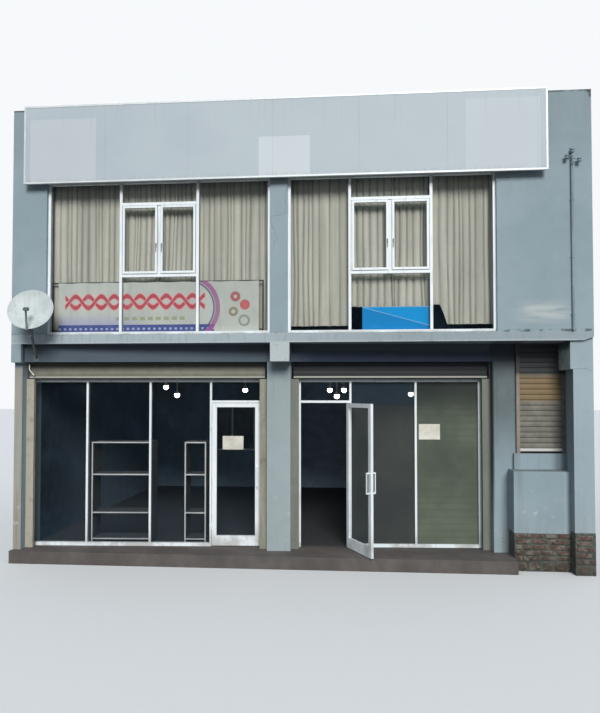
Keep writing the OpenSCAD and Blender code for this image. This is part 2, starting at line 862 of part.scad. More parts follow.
module door_left() {
    color(white_alu) on_plot() at_left_pin() leaf(left_leaf_w);
}

module door_left_glass() {
    color(glass_tint) on_plot() at_left_pin() leaf_glass(left_leaf_w);
}

module door_right() {
    color(white_alu) on_plot() at_right_pin() leaf(right_leaf_w);
}

module door_right_glass() {
    color(glass_tint) on_plot() at_right_pin() leaf_glass(right_leaf_w);
}

// Roller shutters

guide_e = beam_t + 5;
slot_w = 24;
slot_depth = 90;
end_plate_t = 8;
curtain_thick = 12;
curtain_e = guide_e + (guide_d - curtain_thick) / 2;
shaft_r = 20;
coil_z = slab_bottom - 20 - coil_dia / 2;

// A channel whose slot opens towards +X, with the plate above it that carries the shaft
module guide() {
    r = coil_dia / 2;
    union() {
        difference() {
            block(0, 0, floor_rise, guide_w, guide_d, frame_h + 2);
            block(guide_w - slot_depth, (guide_d - slot_w) / 2, floor_rise - 1, slot_depth + 1, slot_w,
                frame_h + 4);
        }
        difference() {
            block(0, 0, frame_top + 1, end_plate_t, curtain_e - guide_e + r + 45, coil_z + 45 - frame_top);
            translate([-1, curtain_e - guide_e + r, coil_z]) rotate([0, 90, 0])
                cylinder(r = shaft_r + fit_gap, h = end_plate_t + 2);
        }
    }
}

module shutter_guides() {
    color(shutter_beige) on_plot() between_walls() on_line(0, guide_e) {
        guide();
        translate([left_bay_w, 0, 0]) mirror([1, 0, 0]) guide();
        translate([right_bay_u, 0, 0]) guide();
        translate([alcove_pier_u, 0, 0]) mirror([1, 0, 0]) guide();
    }
}

// A rolled-up shutter: barrel, shaft, the last slats and the bottom bar
module rolled_shutter(u, w) {
    r = coil_dia / 2;
    edge = guide_w - slot_depth + 12;
    z = coil_z;
    foot = beam_bottom - shutter_drop;
    e = curtain_e + r;
    union() {
        translate([u + 40, e, z]) rotate([0, 90, 0]) cylinder(r = r, h = w - 80);
        translate([u + 2, e, z]) rotate([0, 90, 0]) cylinder(r = shaft_r, h = w - 2);
        block(u + edge, curtain_e, foot + bottom_bar_h, w - 2 * edge, curtain_thick, z - foot - bottom_bar_h);
        block(u + edge, curtain_e - 12, foot, w - 2 * edge, curtain_thick + 24, bottom_bar_h);
    }
}

module roller_shutters() {
    color(shutter_beige) on_plot() between_walls() on_line() {
        rolled_shutter(0, left_bay_w);
        rolled_shutter(right_bay_u, right_bay_w);
    }
}

// Side profile of a closed curtain of slats as [y, z] points, front first
slat_face = [[6, 0], [0, 0.15], [-3, 0.5], [0, 0.86], [6, 0.95]];
function slat_front(z0, count) = [for (i = [0 : count - 1], p = slat_face)
    [p[0], z0 + (i + p[1]) * slat_pitch]];

// The hatch shutter stands in front of the line, between the alcove pier and the corner
module hatch_shutter() {
    foot = hatch_sill_z + hatch_bar_h;
    top = slab_bottom - fit_gap;
    slats = floor((top - foot) / slat_pitch);
    e = -hatch_guide_d - fit_gap;
    y = e + 20;
    color(shutter_beige) on_plot() difference() {
        on_line() union() {
            translate([hatch_u - 25, 0, 0]) side_block(concat([[y + 12, foot]],
                [for (p = slat_front(foot, slats)) [y + p[0], p[1]]],
                [[y + 6, top], [y + 12, top]]), 0, hatch_w + 50);
            block(hatch_u - 5, y - 10, hatch_sill_z, hatch_w + 10, 30, hatch_bar_h);
            for (u = [hatch_u - hatch_guide_w, hatch_u + hatch_w])
                difference() {
                    block(u, e, hatch_sill_z, hatch_guide_w, hatch_guide_d, top - hatch_sill_z);
                    block(u == hatch_u + hatch_w ? u - 10 : u + hatch_guide_w - 30, y - 12, hatch_sill_z - 1,
                        40, 28, tall);
                }
        }
        block(corner_block_x - fit_gap, 0, slab_bottom - corner_block_h - fit_gap, tall, tall, tall);
    }
}

// Dish

dish_x = x_left + 496;
dish_y = -330;
dish_z = slab_top + 292;
dish_rim = dish_dia / 2 + 8;
mast_r = 19;
mast_x = dish_x - 58;
mast_y = dish_y + 112;
bend_z = slab_top - 70;
plate_x = x_left + 331;
plate_z = beam_bottom + 60;
arm_w = 26;
feed_y = 90;
feed_z = 240;

// A round bar from one point to another
module rod(from, to, r) {
    d = to - from;
    translate(from) rotate([0, acos(d[2] / norm(d)), atan2(d[1], d[0])]) cylinder(r = r, h = norm(d));
}

module at_dish() {
    translate([dish_x, dish_y, dish_z]) rotate([0, 0, dish_turn]) rotate([90 - dish_tilt, 0, 0]) children();
}

// Shallow bowl that opens along +Z, from a revolved arc
module satellite_dish() {
    r = dish_dia / 2;
    steps = 10;
    skin = 4;
    arc = [for (i = [0 : steps]) [r * i / steps, dish_depth * pow(i / steps, 2)]];
    color("#dfe4e4") on_plot() at_dish() rotate_extrude($fn = 72)
        polygon(concat(arc, [[dish_rim, dish_depth + skin], [dish_rim, dish_depth - skin]],
            [for (i = [steps : -1 : 0]) [arc[i][0], arc[i][1] - skin]]));
}

// Wall plate and bent mast, then the clamp behind the bowl and the arm that holds the feed
module dish_mount() {
    arm_y = -dish_rim - arm_w / 2 - 4;
    arm_rise = feed_y + arm_y;
    bend = [mast_x, mast_y, bend_z];
    color("#6d7274") on_plot() union() {
        on_line((plate_x - inner_left) / cos(skew) - 45, -8) block(0, 0, plate_z - 55, 90, 8, 110);
        rod([plate_x, line_y(plate_x) - 11, plate_z], bend, mast_r - 3);
        translate(bend) sphere(r = mast_r + 4);
        translate(bend) cylinder(r = mast_r, h = dish_z - bend_z + 60);
        at_dish() union() {
            translate([0, 0, -44]) cylinder(r = 60, h = 40 - fit_gap);
            block(-40, -30, -160, 70, 60, 130);
            block(-arm_w / 2 + 1, arm_y, -34, arm_w - 2, -arm_y, 20);
            block(-arm_w / 2, arm_y - arm_w / 2, -36, arm_w, arm_w, 150);
            translate([0, arm_y, 100]) rotate([-atan2(-arm_rise, feed_z - 100), 0, 0])
                translate([-arm_w / 2 + 2, -arm_w / 2 + 2, 0])
                cube([arm_w - 4, arm_w - 4, norm([arm_rise, feed_z - 100])]);
            translate([0, -feed_y, feed_z]) rotate([-150, 0, 0]) translate([0, 0, -40])
                cylinder(r = 27, h = 105);
        }
    }
}

// Conduit and service bracket on the upper front

conduit_x = x_right - 277;
conduit_top = lintel_z + 120;
clip_shares = [0.09, 0.44, 0.79];
// Sideways reach and height of the two arms of the service bracket
hooks = [[-80, 0], [86, -45]];

// A spool insulator with a groove for the wire
module insulator() {
    rotate_extrude()
        polygon([[0, 0], [26, 0], [28, 14], [18, 21], [18, 27], [28, 34], [26, 48], [0, 48]]);
}

module conduit() {
    r = conduit_dia / 2;
    y = -r - 5;
    color("#7d8488") on_plot() union() {
        translate([conduit_x, y, slab_top]) cylinder(r = r, h = conduit_top - slab_top);
        for (share = clip_shares) {
            block(conduit_x - r - 14, -5, slab_top + share * window_h, 2 * r + 28, 5, 22);
            translate([conduit_x, y, slab_top + share * window_h]) cylinder(r = r + 3, h = 22);
        }
        block(conduit_x - 20, -8, conduit_top - 110, 40, 8, 260);
        translate([conduit_x, -45, conduit_top - 90]) cylinder(r = 7, h = 220);
        for (p = hooks) {
            rod([conduit_x, -45, conduit_top + p[1] + 30], [conduit_x + p[0], -60, conduit_top + p[1]], 6);
            translate([conduit_x + p[0], -60, conduit_top + p[1] - 25]) insulator();
        }
        for (z = [-100, 120])
            block(conduit_x - 14, -55, conduit_top + z, 28, 55, 12);
        translate([conduit_x, -45, conduit_top + 65]) insulator();
    }
}

// Inside the shops

// Share of the room's width, distance from the front and length of the stem
lamp_spots = [[0.214, 1600, 555], [0.252, 1200, 692], [0.386, 1500, 608], [0.562, 1500, 608],
    [0.577, 1100, 708], [0.591, 1500, 608], [0.719, 900, 676]];

module hanging_lamps() {
    color("#e9e6d8") on_plot()
        for (p = lamp_spots) translate([inner_left + p[0] * room_w, p[1], slab_bottom]) union() {
            stem = p[2];
            translate([0, 0, -20]) cylinder(r = 45, h = 20);
            translate([0, 0, -stem]) cylinder(r = 8, h = stem);
            translate([0, 0, -stem - 60]) cylinder(r1 = 45, r2 = 18, h = 70);
            translate([0, 0, -stem - 60]) sphere(r = 42);
        }
}

shelf_t = 20;
shelf_d = 350;
shelf_shares = [0.024, 0.183, 0.415, 0.611];

module shelf_unit(u, w) {
    translate([u, 0, floor_rise]) union() {
        for (x = [0, w - shelf_t]) block(x, 0, 0, shelf_t, shelf_d, frame_h * shelf_shares[3] + shelf_t);
        for (share = shelf_shares) block(0, 0, frame_h * share, w, shelf_d, shelf_t);
    }
}

module display_shelves() {
    color("#cfd0ca") on_plot() on_line(0, frame_setback + section_d + 90) {
        shelf_unit(left_posts[1][0] + mullion_w, left_posts[2][0] - left_posts[1][0] - mullion_w);
        shelf_unit(left_hinge_u * 0.85, left_hinge_u * 0.12);
    }
}

// Plain windows of the rear and the right side

module plain_window() {
    union() {
        ring(plain_w, plain_h, section_w, section_d);
        block((plain_w - section_w) / 2, 0, section_w, section_w, section_d, plain_h - 2 * section_w);
    }
}

module plain_panes() {
    w = (plain_w - 3 * section_w) / 2;
    for (x = [section_w, 2 * section_w + w])
        block(x, (section_d - glass_t) / 2, section_w, w, glass_t, plain_h - 2 * section_w);
}

// Places a piece in each plain window hole
module at_plain_windows() {
    for (z = storey_floors) {
        for (x = rear_window_xs)
            translate([x - plain_w / 2, plot_depth - (wall_t + section_d) / 2, z + plain_sill]) children();
        for (y = side_window_ys)
            translate([inner_right + (wall_t + section_d) / 2, y - plain_w / 2, z + plain_sill])
                rotate([0, 0, 90]) children();
    }
}

module plain_windows() {
    color(white_alu) on_plot() at_plain_windows() plain_window();
}

module plain_window_glass() {
    color(glass_tint) on_plot() at_plain_windows() plain_panes();
}

shop_floor();
brick_footing();
left_wall();
right_wall();
rear_wall_lower();
rear_wall_upper();
centre_column();
alcove_pier();
corner_pier();
dwarf_wall();
shopfront_beam();
ledge_blocks();
first_floor_slab();
front_piers();
parapet();
roof_sheets();
roof_frame();
rear_gutter();
sign_board();
sign_frame();
window_frames();
casement_sashes();
upper_glass();
curtain_rods();
curtains();
guard_rail();
banner();
blue_panel();
shopfront_left();
shopfront_right();
shopfront_glass();
door_left();
door_left_glass();
door_right();
door_right_glass();
shutter_guides();
roller_shutters();
hatch_shutter();
satellite_dish();
dish_mount();
conduit();
hanging_lamps();
display_shelves();
plain_windows();
plain_window_glass();
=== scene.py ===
# %% [markdown]
# # A corner shop with a jettied upper floor
#
# This script dresses a building whose solids were made in CAD. The walls, the frames, the doors and the dish arrive
# with their true shapes, so most of the work here is finish: weathered plaster, white aluminium, dusty glass, cloth.
# The few soft or small things, such as the curtains, the banner and the bricks, are made here as new meshes.

# %% Load the packed model
import math
import random

import bmesh
import bpy
from mathutils import Matrix, Vector, noise


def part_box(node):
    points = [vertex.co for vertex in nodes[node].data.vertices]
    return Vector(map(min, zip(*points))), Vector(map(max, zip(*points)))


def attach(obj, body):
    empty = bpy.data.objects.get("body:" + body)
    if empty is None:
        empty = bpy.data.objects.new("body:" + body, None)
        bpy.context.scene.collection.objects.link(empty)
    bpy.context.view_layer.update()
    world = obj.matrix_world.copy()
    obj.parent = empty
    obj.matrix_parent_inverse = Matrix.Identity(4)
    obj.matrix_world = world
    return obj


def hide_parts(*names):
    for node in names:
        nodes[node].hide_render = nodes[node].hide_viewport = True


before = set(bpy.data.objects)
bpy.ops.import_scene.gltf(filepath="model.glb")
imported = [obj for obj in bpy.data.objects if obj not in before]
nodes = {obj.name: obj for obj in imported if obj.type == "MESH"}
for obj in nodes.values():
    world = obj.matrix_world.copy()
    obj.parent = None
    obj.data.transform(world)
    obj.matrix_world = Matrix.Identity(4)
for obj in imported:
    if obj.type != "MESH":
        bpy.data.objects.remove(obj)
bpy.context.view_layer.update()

# %% [markdown]
# ## The main lines
#
# A mason sets out a front from a few lines, and the finishes need the same ones: where the ledge is, how high the
# floor lies, which plane the shopfront stands in. Reading them from the frame keeps every stain and brick in place
# when the model changes. Only the angle of the shopfront can't be read from a box, so it is repeated here.

# %% Read the main lines from the frame
scene = bpy.context.scene
left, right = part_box("parapet")[0].x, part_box("parapet")[1].x
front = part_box("parapet")[0].y
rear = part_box("left_wall")[1].y
lintel, wall_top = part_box("parapet")[0].z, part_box("parapet")[1].z
inner_left, inner_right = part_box("left_wall")[1].x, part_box("right_wall")[0].x
slab_low, slab_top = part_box("first_floor_slab")[0].z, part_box("first_floor_slab")[1].z
floor_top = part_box("shop_floor")[1].z
beam_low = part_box("shopfront_beam")[0].z
window_low, window_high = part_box("window_frames")
print("front", round(front, 3), "ledge", round(slab_low, 3), "to", round(slab_top, 3), "top", round(wall_top, 3))

# %% Set out the shopfront line
SKEW = math.radians(3)
RECESS = 0.107
GLASS_LINE, DOOR_GLASS_LINE = 0.280, 0.270
ALONG = Vector((math.cos(SKEW), math.sin(SKEW), 0))
BEHIND = Vector((-math.sin(SKEW), math.cos(SKEW), 0))


def on_line(u, e, z):
    """A point u along the slanted shopfront line from the left wall and e behind it."""
    return Vector((inner_left, front + RECESS, z)) + ALONG * u + BEHIND * e


print("line ends at", [round(v, 3) for v in on_line(inner_right - inner_left, 0, 0)[:2]])

# %% [markdown]
# ## The camera
#
# The view is from the street, a little right of the middle, and it looks slightly left and slightly up. Its place was
# worked out from the edges of the walls and the sign. The picture was cropped unevenly, so its middle is not the
# lens's middle, and a small vertical shift makes up for that instead of a tilt, which would bend the walls.

# %% Place the camera
YAW, PITCH = math.radians(4.48), math.radians(1.5)
EYE = Vector((0.785, front - 8.488, 2.463))
PHOTO_WIDTH, PHOTO_HEIGHT = 600, 713
FILM = 36.0
SHIFT = 22.8
look = Vector((-math.sin(YAW) * math.cos(PITCH), math.cos(YAW) * math.cos(PITCH), math.sin(PITCH)))
camera = bpy.data.objects.new("street_camera", bpy.data.cameras.new("street_camera"))
scene.collection.objects.link(camera)
camera.location = EYE
camera.rotation_mode = "QUATERNION"
camera.rotation_quaternion = look.to_track_quat("-Z", "Y")
camera.data.sensor_fit = "VERTICAL"
camera.data.sensor_height = camera.data.sensor_width = FILM
camera.data.lens = PHOTO_WIDTH / PHOTO_HEIGHT * FILM
camera.data.shift_y = SHIFT / PHOTO_HEIGHT
camera.data.clip_end = 200
scene.camera = camera
print("camera", tuple(round(v, 3) for v in camera.location), "lens", round(camera.data.lens, 2))

# %% [markdown]
# ## Sums that become nodes
#
# A material's pattern is a sum: noise, times a mask, plus some more noise. Drawn as nodes it is a web, and written
# as a sum it is one line. This small class wraps a node's output, so that Python's own signs add the Math nodes.
# Plain numbers are still worked out in Python, and only what changes over the surface becomes a node.

# %% Turn Python's signs into nodes
def as_node(operation, reflected=False):
    """A method for one of Python's signs, which adds a Math node. Reflected is for a number on the left."""
    if reflected:
        return lambda self, other: self.math(operation, other, self)
    return lambda self, other: self.math(operation, self, other)


print("each sign gets:", as_node.__doc__)

# %% Wrap a socket
class Socket:
    """One output of a node, which can take part in a Python sum."""

    __add__, __radd__ = as_node("ADD"), as_node("ADD", reflected=True)
    __sub__, __rsub__ = as_node("SUBTRACT"), as_node("SUBTRACT", reflected=True)
    __mul__, __rmul__ = as_node("MULTIPLY"), as_node("MULTIPLY", reflected=True)
    __truediv__, __mod__ = as_node("DIVIDE"), as_node("FLOORED_MODULO")

    def __init__(self, finish, out):
        self.finish = finish
        self.out = out

    def math(self, operation, first, second):
        return self.finish.node("ShaderNodeMath", {"operation": operation}, {0: first, 1: second})

    def sine(self):
        return self.math("SINE", self, 0)

    def root(self):
        return self.finish.node("ShaderNodeMath", {"operation": "SQRT"}, {0: self})

    def size(self):
        return self.math("ABSOLUTE", self, 0)

    def most(self, other):
        return self.math("MAXIMUM", self, other)

    def step(self, low, high, start, end):
        """From start at low to end at high, with a soft curve between."""
        sockets = {0: self, 1: low, 2: high, 3: start, 4: end}
        return self.finish.node("ShaderNodeMapRange", {"interpolation_type": "SMOOTHSTEP"}, sockets)

    def rise(self, low, high):
        """0 below low and 1 above high."""
        return self.step(low, high, 0, 1)

    def fall(self, low, high):
        """1 below low and 0 above high."""
        return self.step(low, high, 1, 0)

    def inside(self, low, high, soft=0.01):
        """1 between low and high, and 0 outside, with soft edges."""
        return self.rise(low - soft, low + soft) * self.fall(high - soft, high + soft)


print("a socket can", *(name for name in vars(Socket) if not name.startswith("_")))

# %% [markdown]
# ## A material in the making
#
# Every finish starts from the same shader and the same coordinates: the object's own, in metres. So a brick course
# is 75 mm high wherever it lies, and a door's finish turns with the door. One method adds any node at all. The
# others only give short names to the nodes that nearly every finish needs: noise, a mix of two colours, a bump.

# %% Read a paint code
def paint(code):
    """A linear colour from the hex code that a paint chart gives."""
    parts = [int(code[i : i + 2], 16) / 255 for i in (1, 3, 5)]
    return (*[v / 12.92 if v <= 0.04045 else ((v + 0.055) / 1.055) ** 2.4 for v in parts], 1)


print("wall blue", [round(v, 3) for v in paint("#95a7af")])

# %% Start a material
class Material:
    """A new material, its shader, and the object's own coordinates in metres."""

    def __init__(self, name, constants=None):
        self.material = bpy.data.materials.new(name)
        self.material.use_nodes = True
        self.tree = self.material.node_tree
        self.shader = self.tree.nodes["Principled BSDF"]
        for socket, value in (constants or {}).items():
            self.feed(self.shader.inputs[socket], value)
        self.place = self.node("ShaderNodeTexCoord", out="Object")
        self.x = self.node("ShaderNodeSeparateXYZ", sockets={0: self.place}, out="X")
        split = self.x.out.node
        self.y = Socket(self, split.outputs["Y"])
        self.z = Socket(self, split.outputs["Z"])

    def feed(self, socket, value):
        """Links a socket, or sets its value."""
        if isinstance(value, Socket):
            self.tree.links.new(value.out, socket)
        else:
            socket.default_value = value

    def node(self, kind, settings=None, sockets=None, out=0):
        """Adds any node: its settings come first, and then its sockets' values or links."""
        made = self.tree.nodes.new(kind)
        for name, value in (settings or {}).items():
            setattr(made, name, value)
        for name, value in (sockets or {}).items():
            self.feed(made.inputs[name], value)
        return Socket(self, made.outputs[out])


print("one method adds any node:", Material.node.__doc__)

# %% Add the patterns that nearly every finish needs
class Finish(Material):
    """A material in the making, with short names for its usual nodes."""

    def scaled(self, by, spot=None):
        """The coordinates stretched by a number for each axis."""
        return self.node("ShaderNodeVectorMath", {"operation": "MULTIPLY"}, {0: spot or self.place, 1: by})

    def noise(self, scale, detail=4, roughness=0.55, stretch=None):
        spot = self.scaled(stretch) if stretch else self.place
        sockets = {"Vector": spot, "Scale": scale, "Detail": detail, "Roughness": roughness}
        return self.node("ShaderNodeTexNoise", sockets=sockets)

    def cells(self, scale, feature="DISTANCE_TO_EDGE", spot=None):
        sockets = {"Vector": spot or self.place, "Scale": scale}
        return self.node("ShaderNodeTexVoronoi", {"feature": feature}, sockets, "Distance")

    def facing(self, axis):
        """How much the surface looks along an axis, from -1 to 1."""
        normal = self.node("ShaderNodeNewGeometry", out="Normal")
        return self.node("ShaderNodeSeparateXYZ", sockets={0: normal}, out=axis)

    def mix(self, mask, first, second):
        """The first colour where the mask is 0 and the second where it is 1. Each is a link or a paint code."""
        first, second = (paint(c) if isinstance(c, str) else c for c in (first, second))
        return self.node("ShaderNodeMix", {"data_type": "RGBA"}, {0: mask, 6: first, 7: second}, 2)

    def colour(self, value):
        self.feed(self.shader.inputs["Base Color"], value)

    def gloss(self, value):
        self.feed(self.shader.inputs["Roughness"], value)

    def bump(self, height, depth, strength=1.0):
        """Raises the surface by depth metres where height is 1."""
        sockets = {"Strength": strength, "Distance": depth, "Height": height}
        self.feed(self.shader.inputs["Normal"], self.node("ShaderNodeBump", sockets=sockets))

    def onto(self, *names):
        """Paints CAD nodes or new pieces, which are given by name or as objects."""
        for name in names:
            piece = nodes[name] if isinstance(name, str) else name
            piece.data.materials.clear()
            piece.data.materials.append(self.material)


print("a finish can", *(name for name in vars(Finish) if not name.startswith("_")))

# %% [markdown]
# ## Lights
#
# The front takes a broad, soft light from its right, as from a bright haze. In a narrow street little light comes
# from low down, so every overhang has a deep, soft shade: the sky here is dim near the horizon and brighter above.
# Both are set so that a wall facing the street shows the colour it is painted. The camera, mirrors and glass see a
# pale backdrop in place of the sky, and that adds no light to the building.

# %% Hang the sun
SUN_STRENGTH = 2.6
SUN_SPREAD, SUN_TILT, SUN_TURN = math.radians(24), math.radians(60), math.radians(12)
sun = bpy.data.objects.new("sun", bpy.data.lights.new("sun", "SUN"))
sun.data.energy = SUN_STRENGTH
sun.data.angle = SUN_SPREAD
sun.data.color = (1.0, 0.985, 0.96)
sun.rotation_euler = (SUN_TILT, 0, SUN_TURN)
scene.collection.objects.link(sun)
print("sun", sun.data.energy, "spread over", round(math.degrees(sun.data.angle)), "degrees")

# %% Paint the sky and the backdrop
SKY_STEP = (0.05, 0.6, 0.10, 0.60)
world = bpy.data.worlds.new("soft_sky")
scene.world = world
scene.view_settings.view_transform = "Standard"
world.use_nodes = True
sky_tree = world.node_tree
sky = sky_tree.nodes["Background"]
sky.inputs[0].default_value = (0.80, 0.90, 1.0, 1)
direction = sky_tree.nodes.new("ShaderNodeTexCoord")
height = sky_tree.nodes.new("ShaderNodeSeparateXYZ")
brightness = sky_tree.nodes.new("ShaderNodeMapRange")
for socket, value in zip(brightness.inputs[1:5], SKY_STEP):
    socket.default_value = value
sky_tree.links.new(direction.outputs["Generated"], height.inputs[0])
sky_tree.links.new(height.outputs["Z"], brightness.inputs[0])
sky_tree.links.new(brightness.outputs[0], sky.inputs[1])
backdrop = sky_tree.nodes.new("ShaderNodeBackground")
backdrop.inputs[0].default_value = (0.93, 0.95, 0.97, 1)
backdrop.inputs[1].default_value = 1.0
print("sky from", SKY_STEP[2], "to", SKY_STEP[3])

# %% Show the backdrop to the camera alone
def seen_directly(tree):
    """1 for rays that show a surface to the camera, or in a mirror or through glass."""
    path = tree.nodes.new("ShaderNodeLightPath")
    total = path.outputs["Is Camera Ray"]
    for kind in ("Is Glossy Ray", "Is Transmission Ray"):
        both = tree.nodes.new("ShaderNodeMath")
        both.operation = "MAXIMUM"
        tree.links.new(total, both.inputs[0])
        tree.links.new(path.outputs[kind], both.inputs[1])
        total = both.outputs[0]
    return total


choice = sky_tree.nodes.new("ShaderNodeMixShader")
sky_tree.links.new(seen_directly(sky_tree), choice.inputs[0])
sky_tree.links.new(sky.outputs[0], choice.inputs[1])
sky_tree.links.new(backdrop.outputs[0], choice.inputs[2])
sky_tree.links.new(choice.outputs[0], sky_tree.nodes["World Output"].inputs[0])
print("world", len(sky_tree.nodes), "nodes")

# %% [markdown]
# ## The floor
#
# A studio floor keeps the shadow and so stands the building on something. It is pale to the camera. To the light
# that bounces off it, it is as dark as a street, or the underside of the ledge would glow.

# %% Turn corners and faces into a piece
def make_piece(name, corners, faces, smooth=False):
    """A new mesh object from corners and faces."""
    mesh = bpy.data.meshes.new(name)
    mesh.from_pydata([tuple(c) for c in corners], [], faces)
    mesh.validate()
    if smooth:
        mesh.shade_smooth()
    piece = bpy.data.objects.new(name, mesh)
    scene.collection.objects.link(piece)
    return piece


def sheet_faces(columns, rows):
    """The quads of a sheet whose corners are listed row by row."""
    wide = columns + 1
    return [(a, a + 1, a + wide + 1, a + wide)
            for row in range(rows) for a in range(row * wide, row * wide + columns)]


print("a sheet of 2 by 1 has faces", sheet_faces(2, 1))

# %% Lay the floor
SPREAD, SUNK = 90, 0.002
floor = make_piece("studio_floor", [(across * SPREAD, back * SPREAD, -SUNK)
                                    for across, back in ((-1, -1), (1, -1), (1, 1), (-1, 1))], [(0, 1, 2, 3)])
floor_finish = Finish("pale_floor", {"Roughness": 0.9})
shown = Socket(floor_finish, seen_directly(floor_finish.tree))
floor_finish.colour(floor_finish.mix(shown, "#5c5c5a", "#e6e7e8"))
floor.data.materials.append(floor_finish.material)
print("floor", SPREAD * 2, "m square")

# %% [markdown]
# ## Painted masonry
#
# The front is plaster under blue-grey wall paint that has faded in clouds. Rain leaves streaks under each edge that
# holds water: the top of the parapet and the ledge. Mildew darkens the tops of the walls and the joint where the
# ledge meets the wall. Near the ground there is splashed dirt, and on the columns the paint has worn off in patches.
# One material for all the masonry, with its marks placed by height and position, keeps the marks running across the
# joints between the pieces, as they do on the real wall. The deep shade of the recess under the ledge is painted in
# too: on the beam, on the pier beside the hatch and on the faces beyond it that look left. Inside, the same walls
# have a dull room paint under painted shade.
#
# Many marks share a noise or a mask, so those come first. Each kind of mark is then a function of its own: it takes
# the colour so far and lays one more coat on it, as a painter does.

# %% Gather what the marks share
SHARP = 0.002
CORNER_BLOCK_LAP = 0.036
OUTER_DEPTH = 0.70
pier_low, pier_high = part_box("alcove_pier")
stub_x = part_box("corner_pier")[0].x - CORNER_BLOCK_LAP


class WallPaint(Finish):
    """The wall paint in the making, with the noises and masks that its marks share."""

    def __init__(self):
        super().__init__("wall_paint")
        x, y, z = self.x, self.y, self.z
        self.clouds = self.noise(0.8, detail=5)
        self.patches = self.noise(4.5, detail=6, roughness=0.6)
        self.worn = self.noise(5.5, detail=7, roughness=0.65)
        self.spots = self.noise(9, detail=5, roughness=0.7)
        self.streaks = self.noise(1, detail=5, stretch=(10, 10, 0.5))
        self.street = y.fall(front + 0.01, front + 0.03)
        self.looks_out = self.facing("Y").fall(-0.9, -0.5)
        self.looks_left = self.facing("X").fall(-0.9, -0.6)
        self.joint = z.inside(slab_top - 0.012, slab_top + 0.022, 0.012) * self.street
        self.stub = self.looks_left * x.inside(stub_x - 0.004, stub_x + 0.004, SHARP) * z.inside(2.7, 3.12, 0.05)
        at_rear = y.rise(front + OUTER_DEPTH, front + OUTER_DEPTH + 0.02)
        outer = x.size().rise(right - 0.004, right - 0.002).most(at_rear)
        self.shaded = z.fall(slab_low - 0.001, slab_low + 0.001) * (1 - outer) * (1 - self.stub)


print("corner block's side at", round(stub_x, 3))

# %% Lay the faded ground coat
def ground_coat(f):
    """Blue-grey paint that has faded in clouds, with a few darker and paler patches."""
    colour = f.mix(f.clouds.rise(0.36, 0.66), "#90a2aa", "#9aacb4")
    colour = f.mix(f.patches.rise(0.5, 0.8) * 0.3, colour, "#84949b")
    return f.mix(f.patches.fall(0.25, 0.42) * 0.2, colour, "#aab8bd")


print("front", round(right - left, 2), "by", round(wall_top, 2))

# %% Weather the parapet
def weather_parapet(f, colour):
    """Greyer paint high up, rain streaks under the coping, and moss at the free corner and along the top."""
    high = f.z.rise(lintel - 0.1, wall_top - 0.4) * 0.45 + 0.1
    colour = f.mix(high * f.clouds.rise(0.2, 0.6), colour, "#828f95")
    under_top = f.z.rise(wall_top - 0.8, wall_top)
    colour = f.mix(under_top * f.streaks.rise(0.5, 0.75) * 0.25, colour, "#6f7b80")
    corner = (f.x - right) + (f.z - wall_top)
    moss = (corner + f.spots * 0.5).rise(0.15, 0.2)
    moss = moss.most(f.z.rise(wall_top - 0.035, wall_top - 0.008) * f.patches.rise(0.4, 0.5))
    return f.mix(moss * 0.85, colour, "#3d443f")


print("parapet from", round(lintel, 2), "to", round(wall_top, 2))

# %% Mark the ledge
def mark_ledge(f, colour):
    """Paint that greys towards the right, drips, a rubbed lip, and mildew in the joint with the wall above."""
    ledge = f.z.inside(slab_low, slab_top, SHARP) * f.street
    colour = f.mix(ledge * 0.55, colour, f.mix(f.x.rise(-1, 2), "#b9c3c8", "#9ba6ab"))
    drips = f.noise(1, detail=5, stretch=(17, 17, 3))
    colour = f.mix(ledge * drips.rise(0.50, 0.72) * 0.35, colour, "#747e82")
    lip = f.z.fall(slab_low + 0.004, slab_low + 0.03) * ledge
    colour = f.mix(lip * (f.patches.rise(0.40, 0.5) * 0.5 + 0.1), colour, "#c3cbce")
    mildew = f.joint * f.spots.rise(0.46, 0.6) * (0.35 + 0.5 * f.x.rise(2.6, 3.2))
    return f.mix(mildew, colour, "#454c4b")


print("ledge", round(slab_top - slab_low, 3), "high")

# %% Mark the beam end in the middle
LEFT_WINDOW = 3.325
BLOCK_WIDTH, BLOCK_HEIGHT = 0.277, 0.271
block_left = window_low.x + LEFT_WINDOW


def mark_block(f, colour):
    """A paler block under the ledge, with grey spots where its paint has flaked."""
    block = f.x.inside(block_left, block_left + BLOCK_WIDTH, SHARP)
    block = block * f.z.inside(slab_low - BLOCK_HEIGHT, slab_low, SHARP) * f.street
    colour = f.mix(block * (0.55 + 0.4 * f.patches), colour, "#c6cfd1")
    return f.mix(block * f.spots.rise(0.56, 0.66) * 0.5, colour, "#7e8380")


print("block from", round(block_left, 2), "to", round(block_left + BLOCK_WIDTH, 2))

# %% Mark both ends of the front
PALE_FROM = 3.81
BARE_WIDTH, BARE_TOP, BARE_DEPTH = 0.115, 2.87, 0.45


def mark_ends(f, colour):
    """A wiped smear and a paler corner pier at the right, and a strip of bare, stained render at the far left."""
    smear = f.x.inside(3.2, 3.82, 0.16) * f.z.inside(3.49, 3.74, 0.07) * f.street
    wiped = f.noise(1, detail=4, stretch=(1.3, 1, 13))
    colour = f.mix(smear * wiped.rise(0.36, 0.64) * 0.6, colour, "#c9cecb")
    pale = f.x.inside(PALE_FROM, right - 0.003, SHARP) * f.street.most(f.looks_out)
    colour = f.mix(pale * f.z.fall(slab_low, slab_low + 0.01) * 0.22, colour, "#c2d0da")
    edge = left + BARE_WIDTH
    bare = f.x.fall(edge - 0.01, edge + 0.01) * f.z.fall(BARE_TOP - 0.03, BARE_TOP + 0.03)
    bare = bare * f.y.fall(front + BARE_DEPTH - 0.05, front + BARE_DEPTH + 0.05) * f.looks_out
    stained = f.mix(f.streaks.rise(0.4, 0.6), "#8f8575", "#ada595")
    return f.mix(bare * 0.8, colour, stained)


